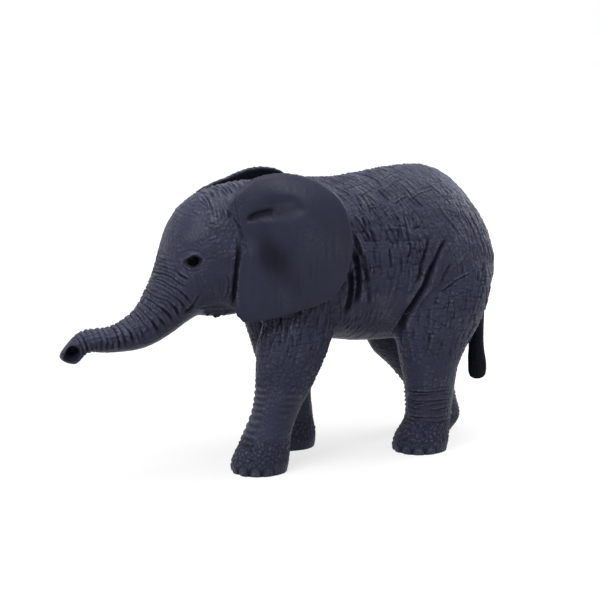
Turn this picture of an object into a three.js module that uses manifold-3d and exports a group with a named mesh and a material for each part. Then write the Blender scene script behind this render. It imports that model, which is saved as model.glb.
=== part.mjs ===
// African elephant calf, a moulded PVC toy figure about 93 mm long, as an assembly of its mouldings:
// torso, head with trunk, two ears, four legs, tail and two eyes, each plugged into its socket.
// The calf walks towards -X, its left side faces -Y and its soles stand on z = 0. Units are millimetres.
import * as THREE from "three";
import { mergeVertices } from "three/addons/utils/BufferGeometryUtils.js";
import Module from "manifold-3d";

const wasm = await Module();
wasm.setup();

// Fits
const seatGap = 0.3; // glue gap between two mouldings
const cutOverrun = 20; // how far a cutting block reaches past what it cuts

// Torso
const bodyLength = 54;
const bodyDepth = 35;
const bodyWidth = 28;
const bellyHeight = 23.6;

// Head, trunk and lower jaw
const headLength = 20;
const headHeight = 26;
const headWidth = 22;
const trunkReach = 20;
const trunkGirth = 9;
const trunkFoldDepth = 0.16;
const fingerReach = 0.5;
const nostrilRadius = 1.35;
const nostrilDepth = 2.6;
const jawLength = 12;
const jawWidth = 9.4;
const jawDepth = 3.6;

// Neck plug on the head
const neckPlugRadius = 3.4;
const neckPlugLength = 6;

// Ears
const earLength = 21.7;
const earHeight = 28;
const earThickness = 1.5;
const earRimThickness = 0.7;
const earFlare = 5.6;
const earCup = 1.3;
const earFoldDepth = 0.8;
const earTuck = 2;
const rightEarTurns = [12, -10, -8]; // lean, tilt and flare, in degrees
const rightEarSetBack = 0.6;
const rightEarDrop = 2.2;
const earRootHeight = 10;
const earRootThickness = 3.6;
const earRootLength = 6.5;

// Legs
const foreFootLength = 11.7;
const foreFootWidth = 11;
const hindFootLength = 12;
const hindFootWidth = 10.8;
const toenailWidth = 2.6;
const toenailHeight = 2.8;
const toenailDepth = 1.6;
const legSeatOffset = 4.2; // from the middle plane of the body to a leg's flat seat
const legPlugRadius = 2.8;
const legPlugLength = 2.8;

// Tail
const tailLength = 29.3;
const tailWidth = 3.3;
const tailPlugRadius = 1.5;
const tailPlugLength = 4;

// Eyes
const eyeDiameter = 2.3;

// Values between the rows of a table, on a smooth curve. The rows are at places 0, 1, 2 and so on.
function smoothTable(rows) {
  const places = rows.map((row, index) => index);
  const curve = new THREE.CubicInterpolant(places, rows.flat(), rows[0].length);
  return (place) => Array.from(curve.evaluate(place));
}

// Places from one row to another, with the given number of steps to each row.
function placesAlong(from, to, stepsPerRow) {
  const count = Math.round((to - from) * stepsPerRow) + 1;
  return Array.from({ length: count }, (unused, i) => from + i / stepsPerRow);
}

// The oval outline of a section. A section has a centre, a reach up, a reach down and one to each side.
function ovalRing(section, sides, swell = 0) {
  const bigger = (reach) => reach.clone().setLength(reach.length() + swell);
  const up = bigger(section.up);
  const down = bigger(section.down);
  const side = bigger(section.side);
  return Array.from({ length: sides }, (unused, i) => {
    const angle = (2 * Math.PI * i) / sides;
    const across = Math.cos(angle);
    const along = Math.sin(angle);
    const roundness = along > 0 ? section.upRoundness : section.downRoundness;
    const share = (value) => Math.abs(value) ** (2 / roundness);
    return section.centre
      .clone()
      .addScaledVector(side, Math.sign(across) * share(across))
      .addScaledVector(along > 0 ? up : down, share(along));
  });
}

function middleOf(points) {
  const sum = points.reduce((total, point) => total.add(point), new THREE.Vector3());
  return sum.divideScalar(points.length);
}

// A closed skin through rings of equal point count, with a point closing each end.
function loftGeometry(rings) {
  const sides = rings[0].length;
  const points = [...rings.flat(), middleOf(rings[0]), middleOf(rings.at(-1))];
  const firstEnd = points.length - 2;
  const lastEnd = points.length - 1;
  const lastRing = (rings.length - 1) * sides;
  const faces = [];
  for (let i = 0; i < sides; i++) {
    const next = (i + 1) % sides;
    for (let start = 0; start < lastRing; start += sides) {
      const a = start + i;
      const b = start + next;
      faces.push(a, b, b + sides, a, b + sides, a + sides);
    }
    faces.push(firstEnd, next, i, lastEnd, lastRing + i, lastRing + next);
  }
  return new THREE.BufferGeometry().setFromPoints(points).setIndex(faces);
}

// A closed geometry as a solid for cutting and joining, its faces turned outwards.
function solidOf(geometry) {
  const bare = new THREE.BufferGeometry();
  bare.setAttribute("position", geometry.getAttribute("position"));
  bare.setIndex(geometry.index);
  const merged = mergeVertices(bare);
  const vertProperties = merged.attributes.position.array;
  const build = (triVerts) => new wasm.Manifold(new wasm.Mesh({ numProp: 3, vertProperties, triVerts }));
  const corners = Uint32Array.from(merged.index.array);
  const solid = build(corners);
  return solid.volume() > 0 ? solid : build(corners.reverse());
}

function loftSolid(rings) {
  return solidOf(loftGeometry(rings));
}

function boxSolid(low, high) {
  const size = new THREE.Vector3().subVectors(high, low);
  const centre = new THREE.Vector3().addVectors(high, low).divideScalar(2);
  return solidOf(new THREE.BoxGeometry(...size).translate(...centre));
}

// A round bar from one point to another, tapering from one radius to the other.
function barSolid(from, to, fromRadius, toRadius, sides) {
  const line = new THREE.Vector3().subVectors(to, from);
  const bar = new THREE.CylinderGeometry(toRadius, fromRadius, line.length(), sides);
  bar.translate(0, line.length() / 2, 0);
  const upright = new THREE.Vector3(0, 1, 0);
  bar.applyQuaternion(new THREE.Quaternion().setFromUnitVectors(upright, line.normalize()));
  return solidOf(bar.translate(...from));
}

// A smooth oval bead with the given width in each direction.
function beadSolid(centre, widths, sides) {
  const bead = new THREE.SphereGeometry(1, sides, Math.round(sides / 2));
  bead.scale(...widths.clone().divideScalar(2));
  return solidOf(bead.translate(...centre));
}

// Torso. Rows run from the neck to the rump: place along the body, top, bottom and half width.
const torsoShares = [
  [0, 0.957, 0.178, 0.743],
  [0.056, 0.956, 0.128, 0.8],
  [0.13, 0.963, 0.09, 0.85],
  [0.222, 0.966, 0.045, 0.9],
  [0.333, 0.962, 0.015, 0.95],
  [0.444, 0.985, 0, 0.986],
  [0.574, 1.013, 0, 1],
  [0.685, 1.016, 0.02, 0.986],
  [0.778, 0.96, 0.071, 0.936],
  [0.855, 0.84, 0.14, 0.83],
  [0.912, 0.71, 0.214, 0.68],
  [0.943, 0.58, 0.28, 0.48],
  [0.96, 0.49, 0.34, 0.25],
  [0.966, 0.43, 0.38, 0.05],
];
const torsoGirthShare = 0.47; // level of the widest place between belly and back
const torsoSides = 32;
const torsoAt = smoothTable(torsoShares);

function torsoSection(place) {
  const [along, top, bottom, halfWidth] = torsoAt(place);
  const low = bellyHeight + bottom * bodyDepth;
  const high = bellyHeight + top * bodyDepth;
  const level = THREE.MathUtils.lerp(low, high, torsoGirthShare);
  return {
    centre: new THREE.Vector3(along * bodyLength, 0, level),
    up: new THREE.Vector3(0, 0, high - level),
    down: new THREE.Vector3(0, 0, low - level),
    side: new THREE.Vector3(0, (halfWidth * bodyWidth) / 2, 0),
    upRoundness: 1.95,
    downRoundness: 2.2,
  };
}

function torsoSkin() {
  const places = placesAlong(0, torsoShares.length - 1, 2);
  return loftSolid(places.map((place) => ovalRing(torsoSection(place), torsoSides)));
}

// Skull. Rows run from the neck forward: the crown line forward and up, the throat line forward and up,
// then the half width. Heights start at the bottom of the neck.
const skullShares = [
  [0, 1.004, 0, 0, 0.945],
  [0.125, 0.992, 0.1, -0.01, 0.964],
  [0.3, 0.969, 0.225, 0.004, 0.973],
  [0.53, 0.912, 0.35, 0.02, 0.945],
  [0.718, 0.802, 0.475, 0.02, 0.873],
  [0.834, 0.65, 0.59, -0.008, 0.782],
  [0.898, 0.496, 0.68, -0.048, 0.673],
  [0.955, 0.342, 0.775, -0.096, 0.555],
  [1.035, 0.212, 0.875, -0.145, 0.464],
];
// Trunk. Rows run on to the tip: the upper line forward and up, the underside forward and up, both from
// the middle of the skull's last row, then the half width, the shift to the left and the twist.
const trunkShares = [
  [0.195, 0.038, 0.04, -0.297, 0.5, 0, 0],
  [0.345, -0.084, 0.2, -0.35, 0.42, 0, 0],
  [0.495, -0.144, 0.38, -0.364, 0.367, 0, 0],
  [0.64, -0.148, 0.55, -0.364, 0.322, 0, 0],
  [0.75, -0.159, 0.68, -0.343, 0.289, 0, 0.03],
  [0.855, -0.23, 0.765, -0.372, 0.267, 0.01, 0.09],
  [0.933, -0.303, 0.792, -0.432, 0.261, 0.03, 0.16],
  [0.98, -0.345, 0.825, -0.44, 0.25, 0.06, 0.2],
];
const neckLevelShare = 0.211; // bottom of the neck, of the body's depth above the belly
const neckBottom = bellyHeight + neckLevelShare * bodyDepth;
const headSides = 24;
const skullSteps = 2;
const foldsPerRow = 2;
const stepsPerFold = 3;
const firstFoldPlace = 7;
const lastFoldPlace = 14;

function skullRow([topOut, topUp, lowOut, lowUp, halfWidth]) {
  return [
    -seatGap - topOut * headLength,
    neckBottom + topUp * headHeight,
    -seatGap - lowOut * headLength,
    neckBottom + lowUp * headHeight,
    (halfWidth * headWidth) / 2,
    0,
    0,
  ];
}

function trunkRow([topOut, topUp, lowOut, lowUp, halfWidth, shift, twist]) {
  const [footTopX, footTopZ, footLowX, footLowZ] = skullRow(skullShares.at(-1));
  const footX = (footTopX + footLowX) / 2;
  const footZ = (footTopZ + footLowZ) / 2;
  return [
    footX - topOut * trunkReach,
    footZ + topUp * trunkReach,
    footX - lowOut * trunkReach,
    footZ + lowUp * trunkReach,
    halfWidth * trunkGirth,
    -shift * trunkReach,
    twist,
  ];
}

const headRows = [...skullShares.map(skullRow), ...trunkShares.map(trunkRow)];
const headAt = smoothTable(headRows);

function headSection(place) {
  const [topX, topZ, lowX, lowZ, halfWidth, shift, twist] = headAt(place);
  const top = new THREE.Vector3(topX, shift, topZ);
  const low = new THREE.Vector3(lowX, shift, lowZ);
  const centre = top.clone().lerp(low, 0.5);
  const upright = new THREE.Vector3().subVectors(top, low).normalize();
  const side = new THREE.Vector3(0, 1, 0).applyAxisAngle(upright, twist * Math.PI);
  return {
    centre,
    up: top.sub(centre),
    down: low.sub(centre),
    side: side.clone().multiplyScalar(halfWidth),
    forward: new THREE.Vector3().crossVectors(upright, side),
    upRoundness: 2.1,
    downRoundness: 2.1,
  };
}

// The skin folds of the trunk: a narrow groove, then a wide ridge.
function foldSwell(place) {
  if (place <= firstFoldPlace || place >= lastFoldPlace) {
    return 0;
  }
  return -trunkFoldDepth * Math.cos(2 * Math.PI * (place - firstFoldPlace) * foldsPerRow);
}

// The skin of head and trunk, ending in the pointed fingers above and below the nostrils.
function headSkin(swell) {
  const lastPlace = headRows.length - 1;
  const places = [
    ...placesAlong(0, firstFoldPlace, skullSteps),
    ...placesAlong(firstFoldPlace, lastFoldPlace, foldsPerRow * stepsPerFold).slice(1),
    ...placesAlong(lastFoldPlace, lastPlace, skullSteps).slice(1),
  ];
  const rings = places.map((place) => {
    return ovalRing(headSection(place), headSides, swell + foldSwell(place));
  });
  const tip = headSection(lastPlace);
  rings.at(-1).forEach((point, i) => {
    const lift = Math.abs(Math.sin((2 * Math.PI * i) / headSides)) ** 4;
    point.addScaledVector(tip.forward, lift * fingerReach);
  });
  return loftSolid(rings);
}

// The hollow of the nostrils, from outside the trunk's tip inwards.
function nostrilHollow() {
  const tip = headSection(headRows.length - 1);
  const mouth = tip.centre.clone().addScaledVector(tip.forward, fingerReach + seatGap);
  const end = tip.centre.clone().addScaledVector(tip.forward, -nostrilDepth);
  return barSolid(mouth, end, nostrilRadius, nostrilRadius / 2, 12);
}

// Lower jaw. Rows run from the throat to the lip: place along the jaw, half depth and half width.
const jawShares = [
  [0, 0.35, 0.35],
  [0.35, 0.5, 0.5],
  [0.65, 0.5, 0.5],
  [0.85, 0.42, 0.4],
  [0.96, 0.28, 0.25],
  [1, 0.1, 0.08],
];
const jawPlaceShare = 0.05; // from the neck forward to the back of the jaw, of the head's length
const jawLevelShare = 0.055; // from the bottom of the neck up to the jaw, of the head's height
const jawAt = smoothTable(jawShares);

function lowerJaw() {
  const rings = placesAlong(0, jawShares.length - 1, 2).map((place) => {
    const [along, halfDepth, halfWidth] = jawAt(place);
    const section = {
      centre: new THREE.Vector3(
        -jawPlaceShare * headLength - along * jawLength,
        0,
        neckBottom + jawLevelShare * headHeight,
      ),
      up: new THREE.Vector3(0, 0, halfDepth * jawDepth),
      down: new THREE.Vector3(0, 0, -halfDepth * jawDepth),
      side: new THREE.Vector3(0, halfWidth * jawWidth, 0),
      upRoundness: 2,
      downRoundness: 2.2,
    };
    return ovalRing(section, 20);
  });
  return loftSolid(rings);
}

// The round plug behind the head that seats it in the torso.
function neckPlug(gap) {
  const level = torsoSection(0).centre.z;
  const from = new THREE.Vector3(-seatGap - neckPlugRadius / 2, 0, level);
  const to = new THREE.Vector3(neckPlugLength + gap, 0, level);
  return barSolid(from, to, neckPlugRadius + gap, neckPlugRadius + gap, 16);
}

// Ear outline seen from the side, round from the top of the front edge: back from the front edge and up
// from the lowest place.
const earOutlineShares = [
  [0.02, 0.86],
  [0.12, 0.95],
  [0.3, 1],
  [0.5, 1],
  [0.7, 0.95],
  [0.87, 0.84],
  [0.97, 0.68],
  [1, 0.5],
  [0.97, 0.33],
  [0.87, 0.18],
  [0.7, 0.09],
  [0.5, 0.04],
  [0.3, -0.01],
  [0.14, -0.03],
  [0.02, -0.03],
  [-0.035, 0.06],
  [-0.01, 0.22],
  [0.01, 0.38],
  [0.04, 0.52],
  [0, 0.66],
  [-0.02, 0.77],
];
const earPlaceShare = 0.31; // from the neck forward to the ear's front edge, of the head's length
const earLevelShare = 0.02; // from the bottom of the neck up to the ear's lowest place
const earStandShare = 0.5; // from the middle plane out to the ear's front edge, of the head's width
const earRootPlaceShare = 0.15; // of the ear's length
const earRootLevelShare = 0.72; // of the ear's height
const earMiddleShares = { back: 0.48, up: 0.5 };
const earFoldShares = { back: 0.28, up: 0.75, slope: 0.3, length: 0.25, width: 0.13 };
const earTuckShares = { back: 0.1, up: 0.74, width: 0.25 };
const earRootShares = [0.55, 0.8, 0.9, 0.8]; // size of the root's sections, from the sheet inwards
const earOutlinePoints = 40;
const earRingShares = [0.12, 0.4, 0.65, 0.85, 0.96];

// How far the ear's middle sheet stands out from the middle plane, at a place back and up on the ear.
function earStand(back, up) {
  const flare = earFlare * Math.sin((THREE.MathUtils.clamp(back, 0, 1) * Math.PI) / 2);
  const cup = earCup * Math.cos(Math.PI * (up - 0.5)) * Math.sin(Math.PI * back);
  const fromFold = back - earFoldShares.back;
  const foldAlong = fromFold / earFoldShares.length;
  const foldAcross = (up - earFoldShares.up - earFoldShares.slope * fromFold) / earFoldShares.width;
  const fold = earFoldDepth * Math.exp(-(foldAlong ** 2) - foldAcross ** 2);
  const tuckBack = (back - earTuckShares.back) / earTuckShares.width;
  const tuckUp = (up - earTuckShares.up) / earTuckShares.width;
  const tuck = earTuck * Math.exp(-(tuckBack ** 2) - tuckUp ** 2);
  return earStandShare * headWidth + flare + cup - fold - tuck;
}

// A point on one face of the left ear. The face is 1 outside and -1 inside; the rim share is 1 at the rim.
function earPoint([back, up], rimShare, face) {
  const placeBack = THREE.MathUtils.lerp(earMiddleShares.back, back, rimShare);
  const placeUp = THREE.MathUtils.lerp(earMiddleShares.up, up, rimShare);
  const thickness = THREE.MathUtils.lerp(earThickness, earRimThickness, rimShare ** 4);
  const stand = earStand(placeBack, placeUp) + (face * thickness) / 2;
  return new THREE.Vector3(
    -earPlaceShare * headLength + placeBack * earLength,
    -stand,
    neckBottom + earLevelShare * headHeight + placeUp * earHeight,
  );
}

function earSheet() {
  const corners = earOutlineShares.map(([back, up]) => new THREE.Vector3(back, up, 0));
  const outline = new THREE.CatmullRomCurve3(corners, true).getSpacedPoints(earOutlinePoints);
  const shares = outline.slice(1).map((point) => [point.x, point.y]);
  const ring = (rimShare, face) => shares.map((share) => earPoint(share, rimShare, face));
  const outside = earRingShares.map((rimShare) => ring(rimShare, 1));
  const inside = earRingShares.map((rimShare) => ring(rimShare, -1)).reverse();
  return loftSolid([...outside, ring(1, 0), ...inside]);
}

function earRootCentre(out) {
  return new THREE.Vector3(
    -earPlaceShare * headLength + earRootPlaceShare * earLength,
    -out,
    neckBottom + earLevelShare * headHeight + earRootLevelShare * earHeight,
  );
}

// The thick root of the ear, from inside the head out to the sheet.
function earRoot(gap) {
  const stand = earStand(earRootPlaceShare, earRootLevelShare);
  const stations = [
    stand,
    stand - earThickness,
    stand - earRootLength / 2,
    stand - earRootLength - gap,
  ];
  const rings = stations.map((out, i) => {
    const share = earRootShares[i];
    const section = {
      centre: earRootCentre(out),
      up: new THREE.Vector3(0, 0, (share * earRootHeight) / 2),
      down: new THREE.Vector3(0, 0, (-share * earRootHeight) / 2),
      side: new THREE.Vector3((share * earRootThickness) / 2, 0, 0),
      upRoundness: 2,
      downRoundness: 2,
    };
    return ovalRing(section, 16, gap);
  });
  return loftSolid(rings);
}

// Legs. Rows run up from the sole: height, middle of the section along the body, half length,
// middle across and half width. Heights are of the hip's height, places of the body's length, lengths and
// widths of the foot, distances across of the body's width.
const leftForeShares = [
  [0, -0.018, 0.45, 0.31, 0.45],
  [0.035, -0.019, 0.49, 0.31, 0.5],
  [0.13, 0, 0.41, 0.31, 0.455],
  [0.215, 0.028, 0.38, 0.31, 0.415],
  [0.28, 0.049, 0.4, 0.31, 0.42],
  [0.39, 0.081, 0.505, 0.31, 0.45],
  [0.52, 0.108, 0.62, 0.305, 0.48],
  [0.62, 0.137, 0.615, 0.295, 0.5],
  [0.74, 0.154, 0.61, 0.285, 0.5],
  [0.87, 0.167, 0.53, 0.26, 0.46],
  [1, 0.172, 0.36, 0.2, 0.38],
];
const rightForeShares = [
  [0, 0.195, 0.455, 0.25, 0.45],
  [0.035, 0.196, 0.495, 0.25, 0.5],
  [0.13, 0.194, 0.445, 0.26, 0.455],
  [0.215, 0.195, 0.42, 0.275, 0.415],
  [0.28, 0.194, 0.435, 0.28, 0.42],
  [0.39, 0.189, 0.51, 0.29, 0.45],
  [0.52, 0.18, 0.624, 0.3, 0.48],
  [0.62, 0.167, 0.675, 0.295, 0.5],
  [0.74, 0.165, 0.63, 0.285, 0.5],
  [0.87, 0.167, 0.53, 0.26, 0.46],
  [1, 0.172, 0.36, 0.2, 0.38],
];
const leftHindShares = [
  [0, 0.655, 0.46, 0.19, 0.46],
  [0.03, 0.659, 0.485, 0.19, 0.5],
  [0.085, 0.665, 0.45, 0.2, 0.45],
  [0.145, 0.681, 0.385, 0.22, 0.41],
  [0.27, 0.675, 0.415, 0.26, 0.42],
  [0.375, 0.669, 0.49, 0.28, 0.455],
  [0.47, 0.679, 0.622, 0.285, 0.5],
  [0.55, 0.695, 0.735, 0.29, 0.54],
  [0.645, 0.723, 0.78, 0.29, 0.56],
  [0.75, 0.75, 0.74, 0.28, 0.54],
  [0.875, 0.765, 0.6, 0.25, 0.48],
  [1, 0.765, 0.3, 0.19, 0.36],
];
const rightHindShares = [
  [0, 0.818, 0.38, 0.35, 0.45],
  [0.055, 0.845, 0.49, 0.35, 0.5],
  [0.115, 0.843, 0.43, 0.34, 0.44],
  [0.19, 0.822, 0.435, 0.32, 0.4],
  [0.26, 0.796, 0.51, 0.305, 0.415],
  [0.335, 0.759, 0.64, 0.295, 0.43],
  [0.395, 0.73, 0.77, 0.29, 0.46],
  [0.47, 0.715, 0.82, 0.285, 0.5],
  [0.55, 0.717, 0.81, 0.29, 0.54],
  [0.645, 0.732, 0.8, 0.29, 0.56],
  [0.75, 0.752, 0.75, 0.28, 0.54],
  [0.875, 0.765, 0.6, 0.25, 0.48],
  [1, 0.765, 0.3, 0.19, 0.36],
];
const foreHipShare = 0.655; // top of a foreleg, of the body's depth above the belly
const hindHipShare = 0.71;
const groinShare = 0.04; // where a leg's flat seat starts, of the body's depth above the belly
const legSides = 18;
const plugLevelShare = 0.3; // of the body's depth above the belly
const toenailSetShare = 0.95; // from the middle of the foot out to a nail's middle, of the foot's half size
const toenailTurns = [-0.3, -0.13, 0.04, 0.21]; // round the foot from its front, in half turns

const legs = {
  foreleg_left: { table: leftForeShares, hip: foreHipShare, toFace: -1 },
  foreleg_right: { table: rightForeShares, hip: foreHipShare, toFace: 1 },
  hindleg_left: { table: leftHindShares, hip: hindHipShare, toFace: -1 },
  hindleg_right: { table: rightHindShares, hip: hindHipShare, toFace: 1 },
};

function legSection({ table, hip, toFace }, place) {
  const [height, along, halfLength, across, halfWidth] = smoothTable(table)(place);
  const isFore = hip === foreHipShare;
  const footLength = isFore ? foreFootLength : hindFootLength;
  const footWidth = isFore ? foreFootWidth : hindFootWidth;
  return {
    centre: new THREE.Vector3(
      along * bodyLength,
      toFace * across * bodyWidth,
      height * (bellyHeight + hip * bodyDepth),
    ),
    up: new THREE.Vector3(-halfLength * footLength, 0, 0),
    down: new THREE.Vector3(halfLength * footLength, 0, 0),
    side: new THREE.Vector3(0, halfWidth * footWidth, 0),
    upRoundness: 2.1,
    downRoundness: 2.1,
  };
}

// The nails on the front of a foot, half sunk in it.
function toenails(leg) {
  const foot = legSection(leg, 1);
  const nails = toenailTurns.map((turn) => {
    const angle = turn * Math.PI;
    const place = new THREE.Vector3(
      foot.centre.x - toenailSetShare * Math.cos(angle) * foot.down.length(),
      foot.centre.y + leg.toFace * toenailSetShare * Math.sin(angle) * foot.side.length(),
      toenailHeight / 2,
    );
    const widths = new THREE.Vector3(toenailDepth, toenailWidth, toenailHeight);
    const nail = beadSolid(new THREE.Vector3(), widths, 8);
    const turned = nail.rotate([0, 0, THREE.MathUtils.radToDeg(-leg.toFace * angle)]);
    return turned.translate(place.toArray());
  });
  return wasm.Manifold.union(nails);
}

// A leg with its flat seat and plug inside the torso. The gap makes it larger all round, as a cutter.
function legSolid(leg, gap) {
  const lastPlace = leg.table.length - 1;
  const rings = placesAlong(0, lastPlace, 2).map((place) => {
    return ovalRing(legSection(leg, place), legSides, gap);
  });
  rings.at(-1).forEach((point) => point.setZ(point.z + gap));
  const groin = bellyHeight + groinShare * bodyDepth + gap;
  const seat = leg.toFace * (legSeatOffset - gap);
  const inner = [seat, -leg.toFace * cutOverrun];
  const low = new THREE.Vector3(-cutOverrun, Math.min(...inner), groin);
  const high = new THREE.Vector3(bodyLength + cutOverrun, Math.max(...inner), groin + bodyDepth);
  const hip = legSection(leg, lastPlace);
  const level = bellyHeight + plugLevelShare * bodyDepth;
  const from = new THREE.Vector3(hip.centre.x, leg.toFace * (legSeatOffset + legPlugRadius), level);
  const to = new THREE.Vector3(hip.centre.x, leg.toFace * (legSeatOffset - legPlugLength - gap), level);
  const plug = barSolid(from, to, legPlugRadius + gap, legPlugRadius + gap, 14);
  return loftSolid(rings).subtract(boxSolid(low, high)).add(plug);
}

// Tail. Rows run down from its root: place down the tail, back from the root, half thickness, half width.
const tailShares = [
  [0, 0, 0.56, 0.6],
  [0.136, 0.03, 0.56, 0.59],
  [0.255, 0.03, 0.53, 0.55],
  [0.39, 0.024, 0.5, 0.51],
  [0.56, 0.02, 0.49, 0.48],
  [0.73, 0.02, 0.5, 0.46],
  [0.85, 0.028, 0.61, 0.43],
  [0.94, 0.034, 0.64, 0.4],
  [0.985, 0.036, 0.48, 0.3],
  [1, 0.036, 0.15, 0.1],
];
const tailRootShare = 0.93; // of the body's length
const tailLevelShare = 0.526; // of the body's depth above the belly
const tailAt = smoothTable(tailShares);

function tailSolid(gap) {
  const root = new THREE.Vector3(tailRootShare * bodyLength, 0, bellyHeight + tailLevelShare * bodyDepth);
  const rings = placesAlong(0, tailShares.length - 1, 2).map((place) => {
    const [down, back, halfThickness, halfWidth] = tailAt(place);
    const section = {
      centre: root.clone().add(new THREE.Vector3(back * tailLength, 0, -down * tailLength)),
      up: new THREE.Vector3(-halfThickness * tailWidth, 0, 0),
      down: new THREE.Vector3(halfThickness * tailWidth, 0, 0),
      side: new THREE.Vector3(0, halfWidth * tailWidth, 0),
      upRoundness: 2,
      downRoundness: 2,
    };
    return ovalRing(section, 16, gap);
  });
  rings[0].forEach((point) => point.setZ(point.z + gap));
  const plugEnd = root.clone().add(new THREE.Vector3(-tailPlugLength - gap, 0, -tailWidth / 2));
  const plugFoot = root.clone().add(new THREE.Vector3(0, 0, -tailWidth / 2));
  const plug = barSolid(plugFoot, plugEnd, tailPlugRadius + gap, tailPlugRadius + gap, 12);
  return loftSolid(rings).add(plug);
}

// Eyes, each a bead pressed into the head.
const eyePlaceShare = 0.72; // of the head's length, forward from the neck
const eyeLevelShare = 0.455; // of the head's height, up from the bottom of the neck
const eyeStandShare = 0.375; // of the head's width, out from the middle plane

function eyeBead(toFace, gap) {
  const centre = new THREE.Vector3(
    -eyePlaceShare * headLength,
    toFace * eyeStandShare * headWidth,
    neckBottom + eyeLevelShare * headHeight,
  );
  const width = eyeDiameter + 2 * gap;
  return beadSolid(centre, new THREE.Vector3(width, width, width), 14);
}

function toRightSide(solid) {
  return solid.mirror([0, 1, 0]);
}

// The right ear's sheet is the left one mirrored, then swung about its root and set lower on it.
function rightEarSheet() {
  const stand = earStand(earRootPlaceShare, earRootLevelShare);
  const root = earRootCentre(-stand);
  const [lean, tilt, flare] = rightEarTurns;
  const swung = toRightSide(earSheet())
    .translate([-root.x, -root.y, -root.z])
    .rotate([0, tilt, 0])
    .rotate([0, 0, flare])
    .rotate([lean, 0, 0]);
  return swung.translate([root.x + rightEarSetBack, root.y, root.z - rightEarDrop]);
}

function makeTorso() {
  const pockets = Object.values(legs).map((leg) => legSolid(leg, seatGap));
  const cutters = wasm.Manifold.union([...pockets, neckPlug(seatGap), tailSolid(seatGap)]);
  return torsoSkin().subtract(cutters);
}

function makeHead() {
  const roots = earRoot(seatGap);
  const eyes = eyeBead(-1, seatGap).add(eyeBead(1, seatGap));
  const hollows = wasm.Manifold.union([roots, toRightSide(roots), eyes, nostrilHollow()]);
  return headSkin(0).add(lowerJaw()).add(neckPlug(0)).subtract(hollows);
}

function makeEar(sheet, root) {
  return sheet.subtract(headSkin(seatGap)).add(root);
}

function makeLeg(leg) {
  const low = new THREE.Vector3(-cutOverrun, -bodyWidth, -cutOverrun);
  const high = new THREE.Vector3(bodyLength + cutOverrun, bodyWidth, 0);
  const ground = boxSolid(low, high);
  return legSolid(leg, 0).add(toenails(leg)).subtract(ground);
}

const slate = { color: 0x3d4050, roughness: 0.55, metalness: 0 };
const glossBlack = { color: 0x08080a, roughness: 0.12, metalness: 0 };
const nodes = {
  torso: [makeTorso(), slate],
  head: [makeHead(), slate],
  ear_left: [makeEar(earSheet(), earRoot(0)), slate],
  ear_right: [makeEar(rightEarSheet(), toRightSide(earRoot(0))), slate],
  foreleg_left: [makeLeg(legs.foreleg_left), slate],
  foreleg_right: [makeLeg(legs.foreleg_right), slate],
  hindleg_left: [makeLeg(legs.hindleg_left), slate],
  hindleg_right: [makeLeg(legs.hindleg_right), slate],
  tail: [tailSolid(0), slate],
  eye_left: [eyeBead(-1, 0), glossBlack],
  eye_right: [eyeBead(1, 0), glossBlack],
};

function meshOf(name, solid, look) {
  const { vertProperties, numProp, triVerts } = solid.getMesh();
  const geometry = new THREE.BufferGeometry();
  geometry.setAttribute("position", new THREE.BufferAttribute(vertProperties, numProp));
  geometry.setIndex(new THREE.BufferAttribute(triVerts, 1));
  geometry.computeVertexNormals();
  const mesh = new THREE.Mesh(geometry, new THREE.MeshStandardMaterial(look));
  mesh.name = name;
  return mesh;
}

const figure = new THREE.Group();
figure.name = "elephant_calf";
for (const [name, [solid, look]] of Object.entries(nodes)) {
  figure.add(meshOf(name, solid, look));
}
const bounds = new THREE.Box3().setFromObject(figure);
const middle = bounds.getCenter(new THREE.Vector3());
for (const mesh of figure.children) {
  mesh.geometry.translate(-middle.x, -middle.y, -bounds.min.z);
}

export default figure;
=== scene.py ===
import math

import bmesh
import bpy
import numpy as np
from mathutils import Matrix, Vector
from mathutils.bvhtree import BVHTree


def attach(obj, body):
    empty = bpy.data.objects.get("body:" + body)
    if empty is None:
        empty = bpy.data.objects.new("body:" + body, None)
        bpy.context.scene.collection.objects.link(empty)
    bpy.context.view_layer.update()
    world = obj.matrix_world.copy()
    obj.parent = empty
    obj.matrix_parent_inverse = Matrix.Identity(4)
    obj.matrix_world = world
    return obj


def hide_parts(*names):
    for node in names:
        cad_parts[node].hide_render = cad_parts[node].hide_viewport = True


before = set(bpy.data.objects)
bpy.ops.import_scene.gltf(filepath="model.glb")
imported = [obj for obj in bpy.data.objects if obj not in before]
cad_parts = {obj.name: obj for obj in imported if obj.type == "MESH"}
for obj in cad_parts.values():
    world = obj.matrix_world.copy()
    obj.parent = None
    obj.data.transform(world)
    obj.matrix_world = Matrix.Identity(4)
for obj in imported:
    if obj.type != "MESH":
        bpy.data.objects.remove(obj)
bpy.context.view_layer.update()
bpy.ops.object.select_all(action="DESELECT")
scene = bpy.context.scene
MM = 0.001

# Studio. A pale floor runs back to a white world. Broad lamps stand above the head, above the back and
# behind the rump, with a faint one on the near side. The camera stands low, in front of the calf's
# left side.
CAMERA_AZIMUTH = math.radians(-20.0)
CAMERA_ELEVATION = math.radians(10.0)
CAMERA_DISTANCE = 300.0
CAMERA_TARGET = Vector((3.56, 0.03, 32.3))
CAMERA_FRAME = 122.45
CAMERA_NEAREST = 10.0
SENSOR_WIDTH = 36.0
WHITE = (1.0, 1.0, 1.0, 1.0)
FLOOR_GREY = (0.36, 0.36, 0.36, 1.0)
FLOOR_HALF_WIDTH = 3000.0
FLOOR_DIM = 0.74
FLOOR_DIM_REACH = 60.0
FLOOR_WHITE_REACH = 250.0
SKY_LIGHT = 0.07
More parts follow.
